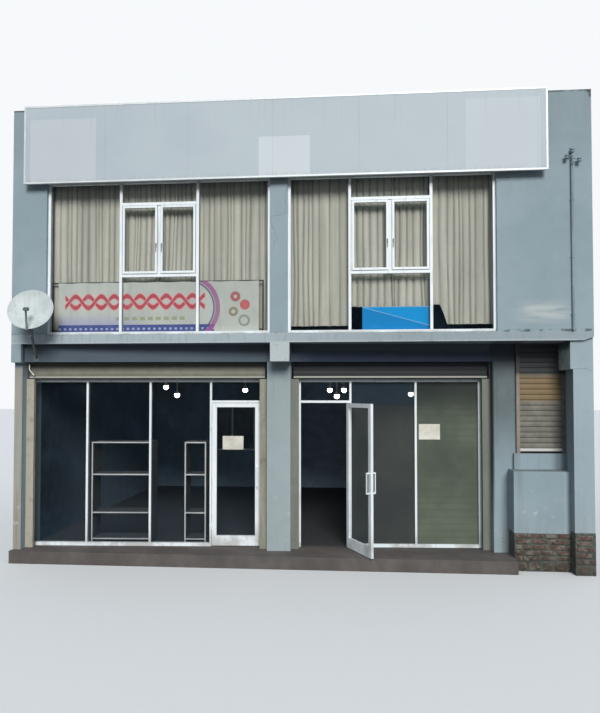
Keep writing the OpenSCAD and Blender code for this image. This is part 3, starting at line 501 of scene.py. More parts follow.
print("bare strip", BARE_WIDTH, "wide")

# %% Wear the columns
COLUMN_FACE, COLUMN_BACK = 0.05, 0.62


def wear_columns(f, colour):
    """Splashed dirt near the ground, and paint that hands have rubbed off the columns."""
    low = f.z.fall(0.25, 1.2)
    colour = f.mix(low * f.streaks.rise(0.38, 0.62) * 0.35, colour, "#837f74")
    columns = f.y.inside(front + COLUMN_FACE, front + COLUMN_BACK, 0.02) * f.z.fall(2.6, 3.0)
    rubbed = columns * f.worn.rise(0.60, 0.66) * f.z.fall(0.6, 1.5)
    colour = f.mix(rubbed * 0.7, colour, "#bcc2c0")
    colour = f.mix(columns * f.streaks.rise(0.52, 0.7) * 0.35, colour, "#74807f")
    return f.mix(columns * f.x.inside(-0.6, 0.4, 0.02) * 0.16, colour, "#cbc6b6")


print("columns stand", COLUMN_FACE, "to", COLUMN_BACK, "behind the front")

# %% Paint shade on the beam under the ledge
def paint_beam_shade(f, colour):
    """Painted shade on the beam over the shops, where the ledge keeps the light off: deeper at the right, where the
    shopfront is set further back.
    """
    at_right = f.x.rise(-0.3, 0.4)
    # Painted shade: a broad darkening under the ledge, deeper at the right.
    painted_recess_shade = f.z.rise(beam_low - 0.35, beam_low + 0.1) * f.shaded * f.y.rise(front + 0.02, front + 0.12)
    colour = f.mix(painted_recess_shade * (0.3 + 0.3 * at_right), colour, "#3f4a50")
    # Painted shade on the beam's face, which is darker still.
    beam = f.z.rise(beam_low - 0.002, beam_low) * f.shaded * f.y.rise(front + 0.05, front + 0.06)
    deep = f.z.rise(slab_low - 0.16, slab_low - 0.06)
    shade_strength = 0.64 + 0.1 * deep + (0.3 - 0.37 * deep) * at_right
    return f.mix(beam * shade_strength, colour, "#122038")


print("beam from", round(beam_low, 3))

# %% Paint shade on the piers beside the hatch
PIER_EDGE = 0.02


def paint_pier_shade(f, colour):
    """Painted shade on the pier beside the hatch and on the inner sides of the bays, and a painted shadow at its
    edge.
    """
    near = pier_low.x - PIER_EDGE
    face = f.y.fall(pier_high.y - 0.05, pier_high.y)
    # Painted shade on the pier's face, darkest under the ledge.
    pier = f.x.inside(near, pier_high.x + PIER_EDGE, SHARP) * face * f.shaded * f.z.rise(1.1, 2.5)
    colour = f.mix(pier * (0.5 + 0.25 * f.patches), colour, "#343a31")
    colour = f.mix(pier * f.z.rise(2.65, 3.1) * 0.84, colour, "#14222f")
    colour = f.mix(f.stub * f.worn.rise(0.4, 0.6) * 0.5, colour, "#d8dcd0")
    # Painted shadow in the gap at the pier's left edge.
    gap_shadow = f.x.inside(near, pier_low.x + 0.035, 0.006) * face * f.shaded
    colour = f.mix(gap_shadow * f.z.rise(0.3, 1.5) * 0.75, colour, "#1f272d")
    # Painted shade on the faces beyond the pier that look left.
    inner_side = f.looks_left * f.x.rise(pier_high.x, pier_high.x + 0.1) * f.shaded
    return f.mix(inner_side * f.z.rise(0.4, 2.6) * 0.42, colour, "#2c3338")


print("pier from", round(pier_low.x, 3), "to", round(pier_high.x, 3))

# %% Dust the tops and paint the rooms
SHOP_DEPTH = 0.66
FRONT_WALL, REAR_WALL = 0.150, 0.120


def dust_tops(f, colour):
    return f.mix(f.facing("Z").rise(0.5, 0.9) * (0.35 + 0.5 * f.patches), colour, "#5a605b")


def paint_rooms(f, colour):
    """Room paint on what lies inside the walls, under painted shade: dark near the front, and paler at the rear."""
    in_shop = f.z.fall(slab_low, slab_low + 0.002) * f.y.rise(front + SHOP_DEPTH, front + SHOP_DEPTH + 0.02)
    behind = front + FRONT_WALL
    in_room = f.z.rise(slab_top - 0.002, slab_top) * f.y.rise(behind - 0.001, behind - 0.0005)
    before = rear - REAR_WALL
    room = f.x.size().fall(inner_right + 0.0005, inner_right + 0.001) * f.y.fall(before + 0.0002, before + 0.001)
    room = room * in_shop.most(in_room)
    far_paint = f.mix(f.x.rise(-1.2, 0.2), "#8197aa", "#c2dcf4")
    # Painted shade: darkest near the front, lifting towards the paler rear paint.
    room_paint_and_shade = f.mix(f.y.rise(front + 0.3, rear - 1.5), "#0f1d2c", far_paint)
    return f.mix(room, colour, f.mix(f.patches.rise(0.3, 0.7) * 0.3, room_paint_and_shade, "#5a6b78"))


print("rooms reach back to", round(rear - REAR_WALL, 2))

# %% Crack the plaster and paint the masonry
def cracked(f):
    """Hair cracks: the edges of large cells, bent by noise, in some of the clouds."""
    wander = f.node("ShaderNodeTexNoise", sockets={"Vector": f.place, "Scale": 2.5, "Detail": 5}, out=1)
    bent = f.node("ShaderNodeVectorMath", {"operation": "ADD"},
                  {0: f.place, 1: f.scaled((0.35, 0.35, 0.35), wander)})
    return f.cells(0.5, spot=bent).fall(0.001, 0.004) * f.clouds.rise(0.56, 0.64)


def wall_paint():
    f = WallPaint()
    colour = ground_coat(f)
    for coat in (weather_parapet, mark_ledge, mark_block, mark_ends, wear_columns, paint_beam_shade, paint_pier_shade, dust_tops,
                 paint_rooms):
        colour = coat(f, colour)
    cracks = cracked(f)
    f.colour(f.mix(cracks * 0.25, colour, "#66727a"))
    f.gloss(0.74 + 0.2 * f.patches)
    grain = f.noise(60, detail=3)
    f.bump(grain * 0.25 + f.patches * 1.2 - cracks * 0.6 - f.joint * f.spots * 0.6, 0.006, 0.8)
    return f


wall_finish = wall_paint()
wall_finish.onto("left_wall", "right_wall", "rear_wall_lower", "rear_wall_upper", "centre_column", "alcove_pier",
                 "corner_pier", "dwarf_wall", "shopfront_beam", "ledge_blocks", "first_floor_slab", "front_piers",
                 "parapet")
print("wall paint", len(wall_finish.tree.nodes), "nodes")

# %% [markdown]
# ## Cement floor
#
# The shop floor is trowelled cement: dark where feet have polished it, paler where it is dusty, and stained down its
# front face. Two scales of noise are enough, because it is seen at a low angle. Indoors the same slab is darker with
# painted shade.

# %% Finish the floor slab
DOORSTEP = 0.5


def worn_cement():
    f = Finish("worn_cement")
    stains = f.noise(1.6, detail=6, roughness=0.6)
    grit = f.noise(38, detail=5, roughness=0.7)
    colour = f.mix(stains.rise(0.35, 0.65), "#514c4a", "#655f5c")
    colour = f.mix(grit.rise(0.5, 0.75) * 0.4, colour, "#575350")
    step_face = f.facing("Y").fall(-0.9, -0.5)
    runs = f.noise(1, detail=5, stretch=(7, 7, 3))
    colour = f.mix(step_face * runs.rise(0.42, 0.65) * 0.5, colour, "#4d4a47")
    # Painted shade: the slab's top is darker indoors, in the dim shop.
    painted_indoor_shade = f.y.rise(front + DOORSTEP, front + DOORSTEP + 0.25) * f.facing("Z").rise(0.5, 0.9)
    f.colour(f.mix(painted_indoor_shade * 0.9, colour, "#303438"))
    f.gloss(0.62 + 0.3 * grit)
    f.bump(grit * 0.6 + stains, 0.006, 0.7)
    return f


worn_cement().onto("shop_floor")
print("cement floor at", round(floor_top, 3))

# %% [markdown]
# ## Brick footing
#
# At the right corner the plaster stops short and shows brick and rubble bedded in thick mortar. The CAD solid has the
# footing's size and gets the mortar's finish. The bricks and stones are meshes of their own, each one a box whose
# corners are worn round and whose faces are uneven, because bump alone looks flat at an edge that catches the sun.

# %% Finish the mortar and the brick
def rubble_mortar():
    f = Finish("rubble_mortar", {"Roughness": 0.92})
    lumps = f.noise(22, detail=6, roughness=0.65)
    damp = f.noise(3, detail=4)
    colour = f.mix(lumps.rise(0.35, 0.7), "#474c49", "#62685f")
    f.colour(f.mix(damp.rise(0.42, 0.6) * f.z.fall(0.1, 0.5) * 0.7, colour, "#3d3c35"))
    f.bump(lumps, 0.02)
    return f


def old_brick():
    f = Finish("old_brick", {"Roughness": 0.9})
    kiln = f.noise(5, detail=2)
    pits = f.noise(70, detail=5, roughness=0.7)
    smeared = f.noise(9, detail=5, roughness=0.6)
    colour = f.mix(kiln.rise(0.38, 0.6), "#44372f", "#5b463d")
    colour = f.mix(pits.rise(0.5, 0.75) * 0.5, colour, "#41312c")
    colour = f.mix(smeared.rise(0.44, 0.6) * 0.75, colour, "#7f7a70")
    f.colour(f.mix(f.z.fall(0.02, 0.4) * kiln.rise(0.3, 0.5) * 0.7, colour, "#3f3e35"))
    f.bump(pits * 0.6 + smeared, 0.008)
    return f


rubble_mortar().onto("brick_footing")
brick_finish = old_brick()
print("mortar", len(bpy.data.materials["rubble_mortar"].node_tree.nodes), "nodes, brick",
      len(brick_finish.tree.nodes))

# %% Shape one worn block
rng = random.Random(7)
CUTS = 3


def keep_mesh(name, bm, smooth=True):
    """Turns a finished bmesh into a new object."""
    mesh = bpy.data.meshes.new(name)
    bm.to_mesh(mesh)
    bm.free()
    if smooth:
        mesh.shade_smooth()
    piece = bpy.data.objects.new(name, mesh)
    scene.collection.objects.link(piece)
    return piece


def worn_box(bm, low, high, roundness, unevenness):
    """Adds a box whose corners are pulled in and whose faces are uneven."""
    middle, half = (low + high) / 2, (high - low) / 2
    before = len(bm.verts)
    made = bmesh.ops.create_cube(bm, size=2)
    edges = list({e for v in made["verts"] for e in v.link_edges})
    bmesh.ops.subdivide_edges(bm, edges=edges, cuts=CUTS, use_grid_fill=True)
    shift = Vector((rng.uniform(0, 50), rng.uniform(0, 50), rng.uniform(0, 50)))
    for v in list(bm.verts)[before:]:
        pull = sum(abs(c) ** roundness for c in v.co) ** (1 / roundness)
        spot = v.co / pull
        bulge = 1 + unevenness * noise.noise(spot * 1.3 + shift)
        v.co = middle + Vector((spot.x * half.x, spot.y * half.y, spot.z * half.z)) * bulge


print("a block has", 6 * (CUTS + 1) ** 2, "faces")

# %% Lay the bricks and stones
COURSE, BRICK_LENGTHS = 0.066, (0.215, 0.215, 0.102, 0.16)
INSET, SHORTEST = 0.006, 0.03
LAP = 0.015


def masonry_face(bm, x_from, x_to, face, height, proud):
    """Courses of stones below and bricks above, on a face that looks at the street."""
    z = 0.004
    row = 0
    while z < height - 0.03:
        stone = z < height * 0.45 and row % 3 == 0
        tall = rng.uniform(0.12, 0.16) if stone else COURSE
        tall = min(tall, height - z - INSET)
        x = x_from + INSET - rng.uniform(0, 0.1) * (row % 2)
        while x < x_to - 0.02:
            long = rng.uniform(0.13, 0.24) if stone else rng.choice(BRICK_LENGTHS)
            a, b = max(x, x_from + INSET), min(x + long, x_to - INSET)
            if b - a > SHORTEST:
                out = rng.uniform(0.3, 1) * proud
                worn_box(bm, Vector((a, face - out, z + rng.uniform(0, 0.006))),
                         Vector((b, face + 0.05, z + tall)), 5 if stone else 9, 0.10 if stone else 0.035)
            x += long + rng.uniform(0.010, 0.022)
        z += tall + rng.uniform(0.010, 0.018)
        row += 1


courses = bmesh.new()
dwarf_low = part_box("dwarf_wall")[0]
corner_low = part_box("corner_pier")[0]
masonry_face(courses, corner_low.x, right, corner_low.y - LAP, corner_low.z, 0.012)
masonry_face(courses, dwarf_low.x, corner_low.x - 0.004, front + 0.2 - LAP, dwarf_low.z, 0.014)
footing_bricks = keep_mesh("footing_bricks", courses)
brick_finish.onto(footing_bricks)
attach(footing_bricks, "building")
print("bricks", len(footing_bricks.data.polygons), "faces")

# %% [markdown]
# ## The sign
#
# The sign is thin painted sheet in an aluminium angle trim, and it is bare. It shows only what the sun and the rain
# left: paler rectangles where panels once covered the sheet, joints between the sheets, and streaks below the rivets.
# Thin sheet never lies flat, so a broad, shallow bump bends its reflections.

# %% Finish the sign
sign_low, sign_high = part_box("sign_board")
SHEET_WIDTH = 1.22
PATCH_EDGE = 0.006


def sun_marks(f):
    """Where panels once covered the sheet: one at the left, one in the middle and a strip at the right."""
    x, z = f.x, f.z
    at_left = x.inside(sign_low.x + 0.09, sign_low.x + 1.08, PATCH_EDGE)
    at_left = at_left * z.inside(sign_low.z + 0.03, sign_high.z - 0.2, PATCH_EDGE)
    middle = x.inside(-0.46, 0.27, PATCH_EDGE) * z.inside(sign_low.z, sign_low.z + 0.58, PATCH_EDGE)
    at_right = x.inside(sign_high.x - 1.1, sign_high.x - 0.1, PATCH_EDGE)
    at_right = at_right * z.fall(sign_high.z - 0.13, sign_high.z - 0.12)
    return at_left.most(middle).most(at_right), middle


def sign_paint():
    f = Finish("faded_sign_sheet", {"Specular IOR Level": 0.4})
    haze = f.noise(0.7, detail=5)
    rain = f.noise(1, detail=5, stretch=(16, 16, 0.5))
    colour = f.mix(haze.rise(0.35, 0.65), "#b3bec6", "#bac6cc")
    panels, middle = sun_marks(f)
    colour = f.mix(panels * 0.7, colour, f.mix(middle, "#c6ced3", "#d6dde2"))
    seams = ((f.x - sign_low.x) % SHEET_WIDTH).fall(0.002, 0.006)
    colour = f.mix(seams * 0.3, colour, "#8e999f")
    dirty = rain.rise(0.5, 0.75) * f.z.rise(sign_high.z - 0.9, sign_high.z)
    colour = f.mix(dirty * 0.18, colour, "#939ea4")
    foot = f.z.fall(sign_low.z + 0.02, sign_low.z + 0.09)
    f.colour(f.mix(foot * rain.rise(0.4, 0.6) * 0.3, colour, "#99a3a7"))
    f.gloss(0.42 + 0.25 * haze)
    ripple = f.noise(1.1, detail=1)
    f.bump(ripple * 6 - seams * 0.5, 0.004, 0.6)
    return f


sign_paint().onto("sign_board")
print("sign", round(sign_high.x - sign_low.x, 2), "by", round(sign_high.z - sign_low.z, 2))

# %% Finish the trim
def dull_aluminium():
    f = Finish("dull_aluminium", {"Metallic": 0.35})
    oxide = f.noise(8, detail=6, roughness=0.65)
    colour = f.mix(oxide.rise(0.35, 0.7), "#c3c9cb", "#d3d8d9")
    f.colour(f.mix(oxide.rise(0.62, 0.75) * 0.5, colour, "#8f9493"))
    f.gloss(0.38 + 0.3 * oxide)
    f.bump(oxide, 0.0008)
    return f


trim_finish = dull_aluminium()
trim_finish.onto("sign_frame")
print("trim", len(trim_finish.tree.nodes), "nodes")

# %% [markdown]
# ## Rivets
#
# Blind rivets hold the trim to its sheet. Each head is a low dome of three rings, and all of them are one mesh: many
# small objects would slow Blender down, and none of them ever moves alone. The roof screws use the same maker.

# %% Rivet the sign
RINGS, AROUND = 3, 10


def domes(name, spots, radius, height, towards):
    """Low round heads, such as rivets or screws, on a surface that looks along towards."""
    out = Vector(towards).normalized()
    side = out.orthogonal().normalized()
    up = out.cross(side)
    corners, faces = [], []
    for spot in spots:
        start = len(corners)
        for ring in range(RINGS):
            climb = ring / RINGS * math.pi / 2
            reach = radius * math.cos(climb)
            for k in range(AROUND):
                turn = 2 * math.pi * k / AROUND
                corners.append(spot + (side * math.cos(turn) + up * math.sin(turn)) * reach
                               + out * height * math.sin(climb))
        corners.append(spot + out * height)
        for ring in range(RINGS - 1):
            for k in range(AROUND):
                a, b = start + ring * AROUND + k, start + ring * AROUND + (k + 1) % AROUND
                faces.append((a, b, b + AROUND, a + AROUND))
        last = start + (RINGS - 1) * AROUND
        faces.extend((last + k, last + (k + 1) % AROUND, start + RINGS * AROUND) for k in range(AROUND))
    return make_piece(name, corners, faces, smooth=True)


RIVET_STEP, RIVET_INSET = 0.37, 0.0125
trim_low, trim_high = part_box("sign_frame")
count = round((trim_high.x - trim_low.x) / RIVET_STEP)
reach = trim_high.x - trim_low.x - 2 * RIVET_INSET
spots = [Vector((trim_low.x + RIVET_INSET + reach * i / count, trim_low.y, z))
         for i in range(count + 1) for z in (trim_low.z + RIVET_INSET, trim_high.z - RIVET_INSET)]
rivets = domes("sign_rivets", spots, 0.006, 0.003, (0, -1, 0))
trim_finish.onto(rivets)
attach(rivets, "building")
print("rivets", len(spots))

# %% [markdown]
# ## White aluminium
#
# The window and shopfront sections are powder coated white. The coat is even and slightly glossy, so the wear has to
# come from dirt: a grey film in the lower corners and faint runs below each joint. The fixed frames also get painted
# shade on their inner sides, the faces that look along X.

# %% Finish the white sections
FIXED_FRAMES = ("window_frames", "casement_sashes", "shopfront_left", "shopfront_right", "plain_windows")
DOORS = ("door_left", "door_right")


def white_sections(name, painted_side_shade=0.0):
    f = Finish(name)
    film = f.noise(3, detail=6, roughness=0.6)
    runs = f.noise(1, detail=4, stretch=(30, 30, 2))
    colour = f.mix(film.rise(0.35, 0.65), "#ebf4f8", "#f6fbfe")
    colour = f.mix(runs.rise(0.56, 0.72) * 0.4, colour, "#a9adaa")
    low = f.z.fall(floor_top, floor_top + 0.5).most(f.z.inside(slab_top - 0.1, slab_top + 0.03, 0.03))
    colour = f.mix(low * film.rise(0.4, 0.6) * 0.6, colour, "#8f8d84")
    # Painted shade on the frames' inner sides, which look along X.
    if painted_side_shade:
        colour = f.mix(f.facing("X").size().rise(0.9, 0.98) * painted_side_shade, colour, "#5a6164")
    f.colour(colour)
    f.gloss(0.3 + 0.25 * film)
    f.bump(film, 0.0006)
    return f


white_sections("fixed_sections", 0.7).onto(*FIXED_FRAMES)
white_sections("door_sections").onto(*DOORS)
print("white sections", len(FIXED_FRAMES), "fixed and", len(DOORS), "doors")

# %% [markdown]
# ## Glass
#
# Clean glass is hard to see, and shop glass is not clean. Each pane is a thin, see-through skin: mostly clear, with a
# film of dust that is denser towards the foot and in blotches. The alpha carries the dust, and the gloss stays low,
# so the panes still mirror the street. The big panes of the right bay have a grey film behind them, which makes
# them look nearly solid, and the plain windows at the rear have dark panes, because nothing is lit behind them.

# %% Lay the films behind the glass
HINGE_POST, BAY_MULLION, BAY_END = 4.895, 5.89, 6.9
film_start, bay_middle, film_end = (on_line(u, GLASS_LINE, 0).x for u in (HINGE_POST, BAY_MULLION, BAY_END))


def bay_film(f, blotch):
    """The right bay's grey film: darker in its left pane, whose top edge is lifted, with painted shade at the top.
    Gives colour, cover, density.
    """
    left_pane = f.x.fall(bay_middle - 0.02, bay_middle)
    lifted = f.z.rise(2.28, 2.36) * left_pane
    colour = f.mix(blotch.rise(0.3, 0.7), "#5c655b", "#747c6d")
    colour = f.mix(left_pane * 0.6, colour, "#2c2a3a")
    # Painted shade: the film darkens towards the top, under the beam.
    colour = f.mix(f.z.rise(1.9, 2.6) * 0.75, colour, "#262d31")
    creases = (f.z * 62).sine().rise(0.7, 1) * blotch.rise(0.35, 0.6)
    colour = f.mix(creases * 0.16, colour, "#3b403a")
    colour = f.mix(lifted, colour, "#34393c")
    return colour, f.x.inside(film_start, film_end, 0.01) * (1 - lifted * 0.4), 0.72


def unlit_room(f, blotch):
    """The dark of a room that isn't modelled, which covers the whole pane."""
    return f.mix(blotch.rise(0.3, 0.7), "#262a2c", "#3a3e3e"), f.z.rise(0, 0.01), 0.92


print("film from", round(film_start, 2), "to", round(film_end, 2))

# %% Finish the glass
def dusty_glass(name, film=None):
    f = Finish(name, {"IOR": 1.15})
    dust = f.noise(2.2, detail=6, roughness=0.65)
    foot = f.z.fall(floor_top, floor_top + 0.9)
    alpha = 0.025 + dust.rise(0.45, 0.8) * 0.05 + foot * 0.06
    # Painted shade: the dust's dark blue tints what is seen through the pane towards the dim, bluish shop.
    colour = f.mix(dust, "#2a4355", "#4a6274")
    if film:
        blotch = f.noise(1.3, detail=4)
        filmed, cover, density = film(f, blotch)
        colour = f.mix(cover, colour, filmed)
        alpha = alpha.most(cover * (density + 0.08 * blotch))
    f.colour(colour)
    f.gloss(0.06 + 0.12 * dust)
    f.feed(f.shader.inputs["Alpha"], alpha)
    return f


CLEAR_PANES = ("upper_glass", "door_left_glass", "door_right_glass")
dusty_glass("dusty_glass").onto(*CLEAR_PANES)
dusty_glass("bay_glass", bay_film).onto("shopfront_glass")
dusty_glass("dark_glass", unlit_room).onto("plain_window_glass")
print("clear panes in", *CLEAR_PANES)

# %% [markdown]
# ## Curtains
#
# Long beige curtains hang behind the upper glass, gathered into narrow pleats. The CAD has plain slabs for them,
# which are replaced here. A simulation would need minutes and settle into much the same folds, so the folds are drawn
# as a wave whose pitch, depth and phase wander: tighter at the heading, freer at the hem. The distance that the wave
# travels is the width that the cloth was cut to, and it is measured and printed.

# %% Weave the curtain cloth
curtain_low, curtain_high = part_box("curtains")
curtain_mid = (curtain_low.y + curtain_high.y) / 2
curtain_depth = (curtain_high.y - curtain_low.y) / 2 - 0.001
THREADS = 2600


def curtain_cloth():
    f = Finish("curtain_cloth", {"Roughness": 0.92, "Sheen Weight": 0.15})
    faded = f.noise(1, detail=5, stretch=(9, 9, 0.35))
    thread = (f.x * THREADS).sine() * (f.z * THREADS).sine()
    slub = f.noise(1, detail=3, stretch=(220, 220, 14))
    colour = f.mix(faded.rise(0.36, 0.64), "#b4b4a7", "#cbcabd")
    colour = f.mix(slub.rise(0.5, 0.7) * 0.2, colour, "#a3a298")
    # Painted shade: the cloth darkens towards the back of each fold.
    deep = f.y.rise(curtain_mid - 0.2 * curtain_depth, curtain_mid + 0.8 * curtain_depth)
    colour = f.mix(deep * 0.6, colour, "#5c5d57")
    # Painted shadow: the top of the cloth darkens under the sign and the window head.
    colour = f.mix(f.z.rise(curtain_high.z - 0.16, curtain_high.z - 0.04) * 0.4, colour, "#4a5c74")
    dusty = f.z.fall(slab_top + 0.1, slab_top + 0.5)
    f.colour(f.mix(dusty * faded.rise(0.4, 0.6) * 0.3, colour, "#8b8372"))
    f.bump(thread * 0.25 + slub, 0.0012, 0.6)
    return f


curtain_finish = curtain_cloth()
print("curtains hang", round(curtain_high.z - curtain_low.z, 2), "m")

# %% Fold the cloth
PER_PLEAT, ROWS = 14, 30
DRIFT = 0.06
BELOW_ROD = 0.002


def folded_corners(x_from, x_to, hem, pitch, seed):
    """The corners of a gathered sheet, row by row from the rod down, and how many columns it has."""
    dice = random.Random(seed)
    pleats = round((x_to - x_from) / pitch)
    widths = [dice.uniform(0.5, 1.6) for _ in range(pleats)]
    depths = [dice.uniform(0.45, 1.0) for _ in range(pleats + 1)]
    leans = [dice.uniform(-0.5, 0.5) for _ in range(pleats + 1)]
    corners = []
    for row in range(ROWS + 1):
        fallen = row / ROWS
        for column in range(pleats * PER_PLEAT + 1):
            pleat = min(column // PER_PLEAT, pleats - 1)
            part = column / PER_PLEAT - pleat
            share = (sum(widths[:pleat]) + widths[pleat] * part) / sum(widths)
            drift = noise.noise(Vector((share * 5, fallen * 1.6, seed))) * fallen
            turn = (part + drift * 0.25) % 1
            crest = math.sin(math.pi * turn) ** 0.6
            deep = depths[pleat] * (1 - part) + depths[pleat + 1] * part
            lean = leans[pleat] * (turn - 0.5) * crest
            gather = 0.55 + 0.45 * min(1, fallen * 3 + 0.15)
            edge = min(1, share * 40, (1 - share) * 40)
            x = x_from + (x_to - x_from) * share + DRIFT * drift * edge
            y = curtain_mid + curtain_depth * gather * (1 - deep + deep * (1 - 2 * crest) + 0.5 * lean * deep) * 0.8
            foot = hem(x) + 0.006 * noise.noise(Vector((share * 14, 3.1, seed)))
            top = curtain_high.z - BELOW_ROD
            corners.append((x, y, top + (foot - top) * fallen))
    return corners, pleats * PER_PLEAT


print("each pleat has", PER_PLEAT, "steps across and", ROWS, "down")

# %% Hang one curtain
def hang_curtain(name, x_from, x_to, hem, pitch, seed):
    """A curtain between two places along the rod. hem gives the height of its foot at x."""
    corners, columns = folded_corners(x_from, x_to, hem, pitch, seed)
    start = (ROWS // 2) * (columns + 1)
    line = [Vector(c) for c in corners[start : start + columns + 1]]
    cut = sum((b - a).length for a, b in zip(line, line[1:]))
    piece = make_piece(name, corners, sheet_faces(columns, ROWS), smooth=True)
    curtain_finish.onto(piece)
    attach(piece, "building")
    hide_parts("curtains")
    drop = curtain_high.z - hem(x_to)
    return f"{name} {x_to - x_from:.2f} m wide from {cut:.2f} m of cloth"


print("cloth is measured", round(ROWS // 2 / ROWS, 2), "of the way down")

# %% Hang the curtains
LEFT_LIGHT, RIGHT_LIGHT, CASEMENT_BAY = 1.108, 0.887, 1.147
RIGHT_WINDOW = 2.927
right_start = window_high.x - RIGHT_WINDOW
left_mullions = (window_low.x + LEFT_LIGHT, window_low.x + LEFT_LIGHT + CASEMENT_BAY)
right_mullions = (right_start + RIGHT_LIGHT, right_start + RIGHT_LIGHT + CASEMENT_BAY)


def level(height):
    """A hem that is level."""
    return lambda x: height


def caught_hem(x):
    """The last curtain's near corner is caught up, so its hem climbs towards the mullion."""
    share = min(1, max(0, (x - right_mullions[1] - 0.14) / 0.1))
    return slab_top + 0.41 - 0.285 * share


CURTAINS = (
    ("curtain_left_1", curtain_low.x, left_mullions[0] - 0.055, level(curtain_low.z), 0.088),
    ("curtain_left_2", left_mullions[0] - 0.045, left_mullions[1] - 0.035, level(slab_top + 0.74), 0.072),
    ("curtain_left_3", left_mullions[1] - 0.025, window_low.x + LEFT_WINDOW + 0.02, level(curtain_low.z), 0.086),
    ("curtain_right_1", right_start - 0.02, right_mullions[0] - 0.015, level(slab_top + 0.115), 0.094),
    ("curtain_right_2", right_mullions[0] + 0.015, right_mullions[1] - 0.015, level(slab_top + 0.39), 0.085),
    ("curtain_right_3", right_mullions[1] + 0.015, curtain_high.x, caught_hem, 0.095),
)
for seed, (name, x_from, x_to, hem, pitch) in enumerate(CURTAINS, 1):
    print(hang_curtain(name, x_from, x_to, hem, pitch, seed))

# %% [markdown]
# ## The banner
#
# A cloth banner is tied to the guard rail inside the left window. It carries a plain design: a pale ground with a
# violet tint, a red braid of two strands, a row of olive beads, a navy band with pale dots along the foot, and at the
# right a purple arc with a few rings. Each shape is a distance from a line or a point, cut by a soft step. Such a
# print needs no picture and no text. The cloth is pulled at its ties, so it ripples a little between them.

# %% Print the banner's left part
banner_low, banner_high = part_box("banner")
BRAID_UP, BRAID_SWING, BRAID_WAVES = 0.46, 0.085, 16
BEAD_STEP, DOT_STEP = 0.12, 0.08


def print_braid(f, colour):
    """Two red strands that cross, each a sine wave with a pale rim."""
    braided = f.x.inside(banner_low.x + 0.15, banner_high.x - 0.75, 0.01)
    for way in (1, -1):
        strand = (f.z - (banner_low.z + BRAID_UP) - (f.x * BRAID_WAVES).sine() * (way * BRAID_SWING)).size()
        colour = f.mix(strand.fall(0.045, 0.052) * braided, colour, "#dba0a0")
        colour = f.mix(strand.fall(0.028, 0.034) * braided, colour, "#b84a55")
    return colour


def print_foot(f, colour):
    """A row of olive beads, and below it a navy band with pale dots."""
    x, z = f.x, f.z
    beads = ((x % BEAD_STEP) - BEAD_STEP / 2).size().fall(0.034, 0.042)
    beads = beads * z.inside(banner_low.z + 0.185, banner_low.z + 0.235, 0.004)
    beads = beads * x.inside(banner_low.x + 0.9, banner_high.x - 1.05, 0.01)
    colour = f.mix(beads * 0.7, colour, "#8f9660")
    band = z.fall(banner_low.z + 0.118, banner_low.z + 0.122) * x.fall(banner_high.x - 0.62, banner_high.x - 0.6)
    colour = f.mix(band, colour, "#414f8c")
    dots = ((x % DOT_STEP) - DOT_STEP / 2).size().fall(0.014, 0.022)
    dots = dots * z.inside(banner_low.z + 0.045, banner_low.z + 0.075, 0.004)
    return f.mix(band * dots * 0.7, colour, "#b9bfd6")


print("braid", BRAID_UP, "m up, beads every", BEAD_STEP, "m")

# %% Print the arc and the rings
ARC_FROM = 0.9
# Each one: from the right edge, from the foot, radius, half its width, paint
HOOPS = (
    (1.02, 0.36, 0.46, 0.030, "#9c4f8c"),
    (1.02, 0.36, 0.405, 0.008, "#3f4a72"),
    (0.30, 0.52, 0.05, 0.02, "#a8484c"),
    (0.16, 0.40, 0.04, 0.03, "#c2454f"),
    (0.33, 0.30, 0.05, 0.015, "#8a7a58"),
    (0.17, 0.17, 0.07, 0.012, "#7f8f86"),
)


def print_hoops(f, colour):
    """The arc and the rings, which stay right of the braid."""
    for across, up, radius, half, code in HOOPS:
        dx, dz = f.x - (banner_high.x - across), f.z - (banner_low.z + up)
        hoop = ((dx * dx + dz * dz).root() - radius).size().fall(half, half + 0.008)
        hoop = hoop * f.x.rise(banner_high.x - ARC_FROM, banner_high.x - ARC_FROM + 0.05)
        colour = f.mix(hoop * 0.85, colour, code)
    return colour


print("hoops", len(HOOPS))

# %% Finish the banner's cloth
WEAVE = 3100


def banner_cloth():
    f = Finish("banner_cloth", {"Roughness": 0.8, "Sheen Weight": 0.1})
    faded = f.noise(1.4, detail=4)
    colour = f.mix(faded.rise(0.3, 0.7), "#b8beb6", "#c5cac2")
    tint = f.z.fall(banner_low.z + 0.05, banner_low.z + 0.33) * f.x.fall(banner_low.x + 0.9, banner_low.x + 1.5)
    colour = f.mix(tint * 0.8, colour, "#9b9cc6")
    for layer in (print_braid, print_foot, print_hoops):
        colour = layer(f, colour)
    grime = f.noise(1, detail=5, stretch=(9, 9, 1))
    f.colour(f.mix(grime.rise(0.52, 0.7) * 0.25, colour, "#98938f"))
    f.bump((f.x * WEAVE).sine() * (f.z * WEAVE).sine(), 0.0004, 0.5)
    return f


banner_finish = banner_cloth()
print("banner cloth", len(banner_finish.tree.nodes), "nodes")

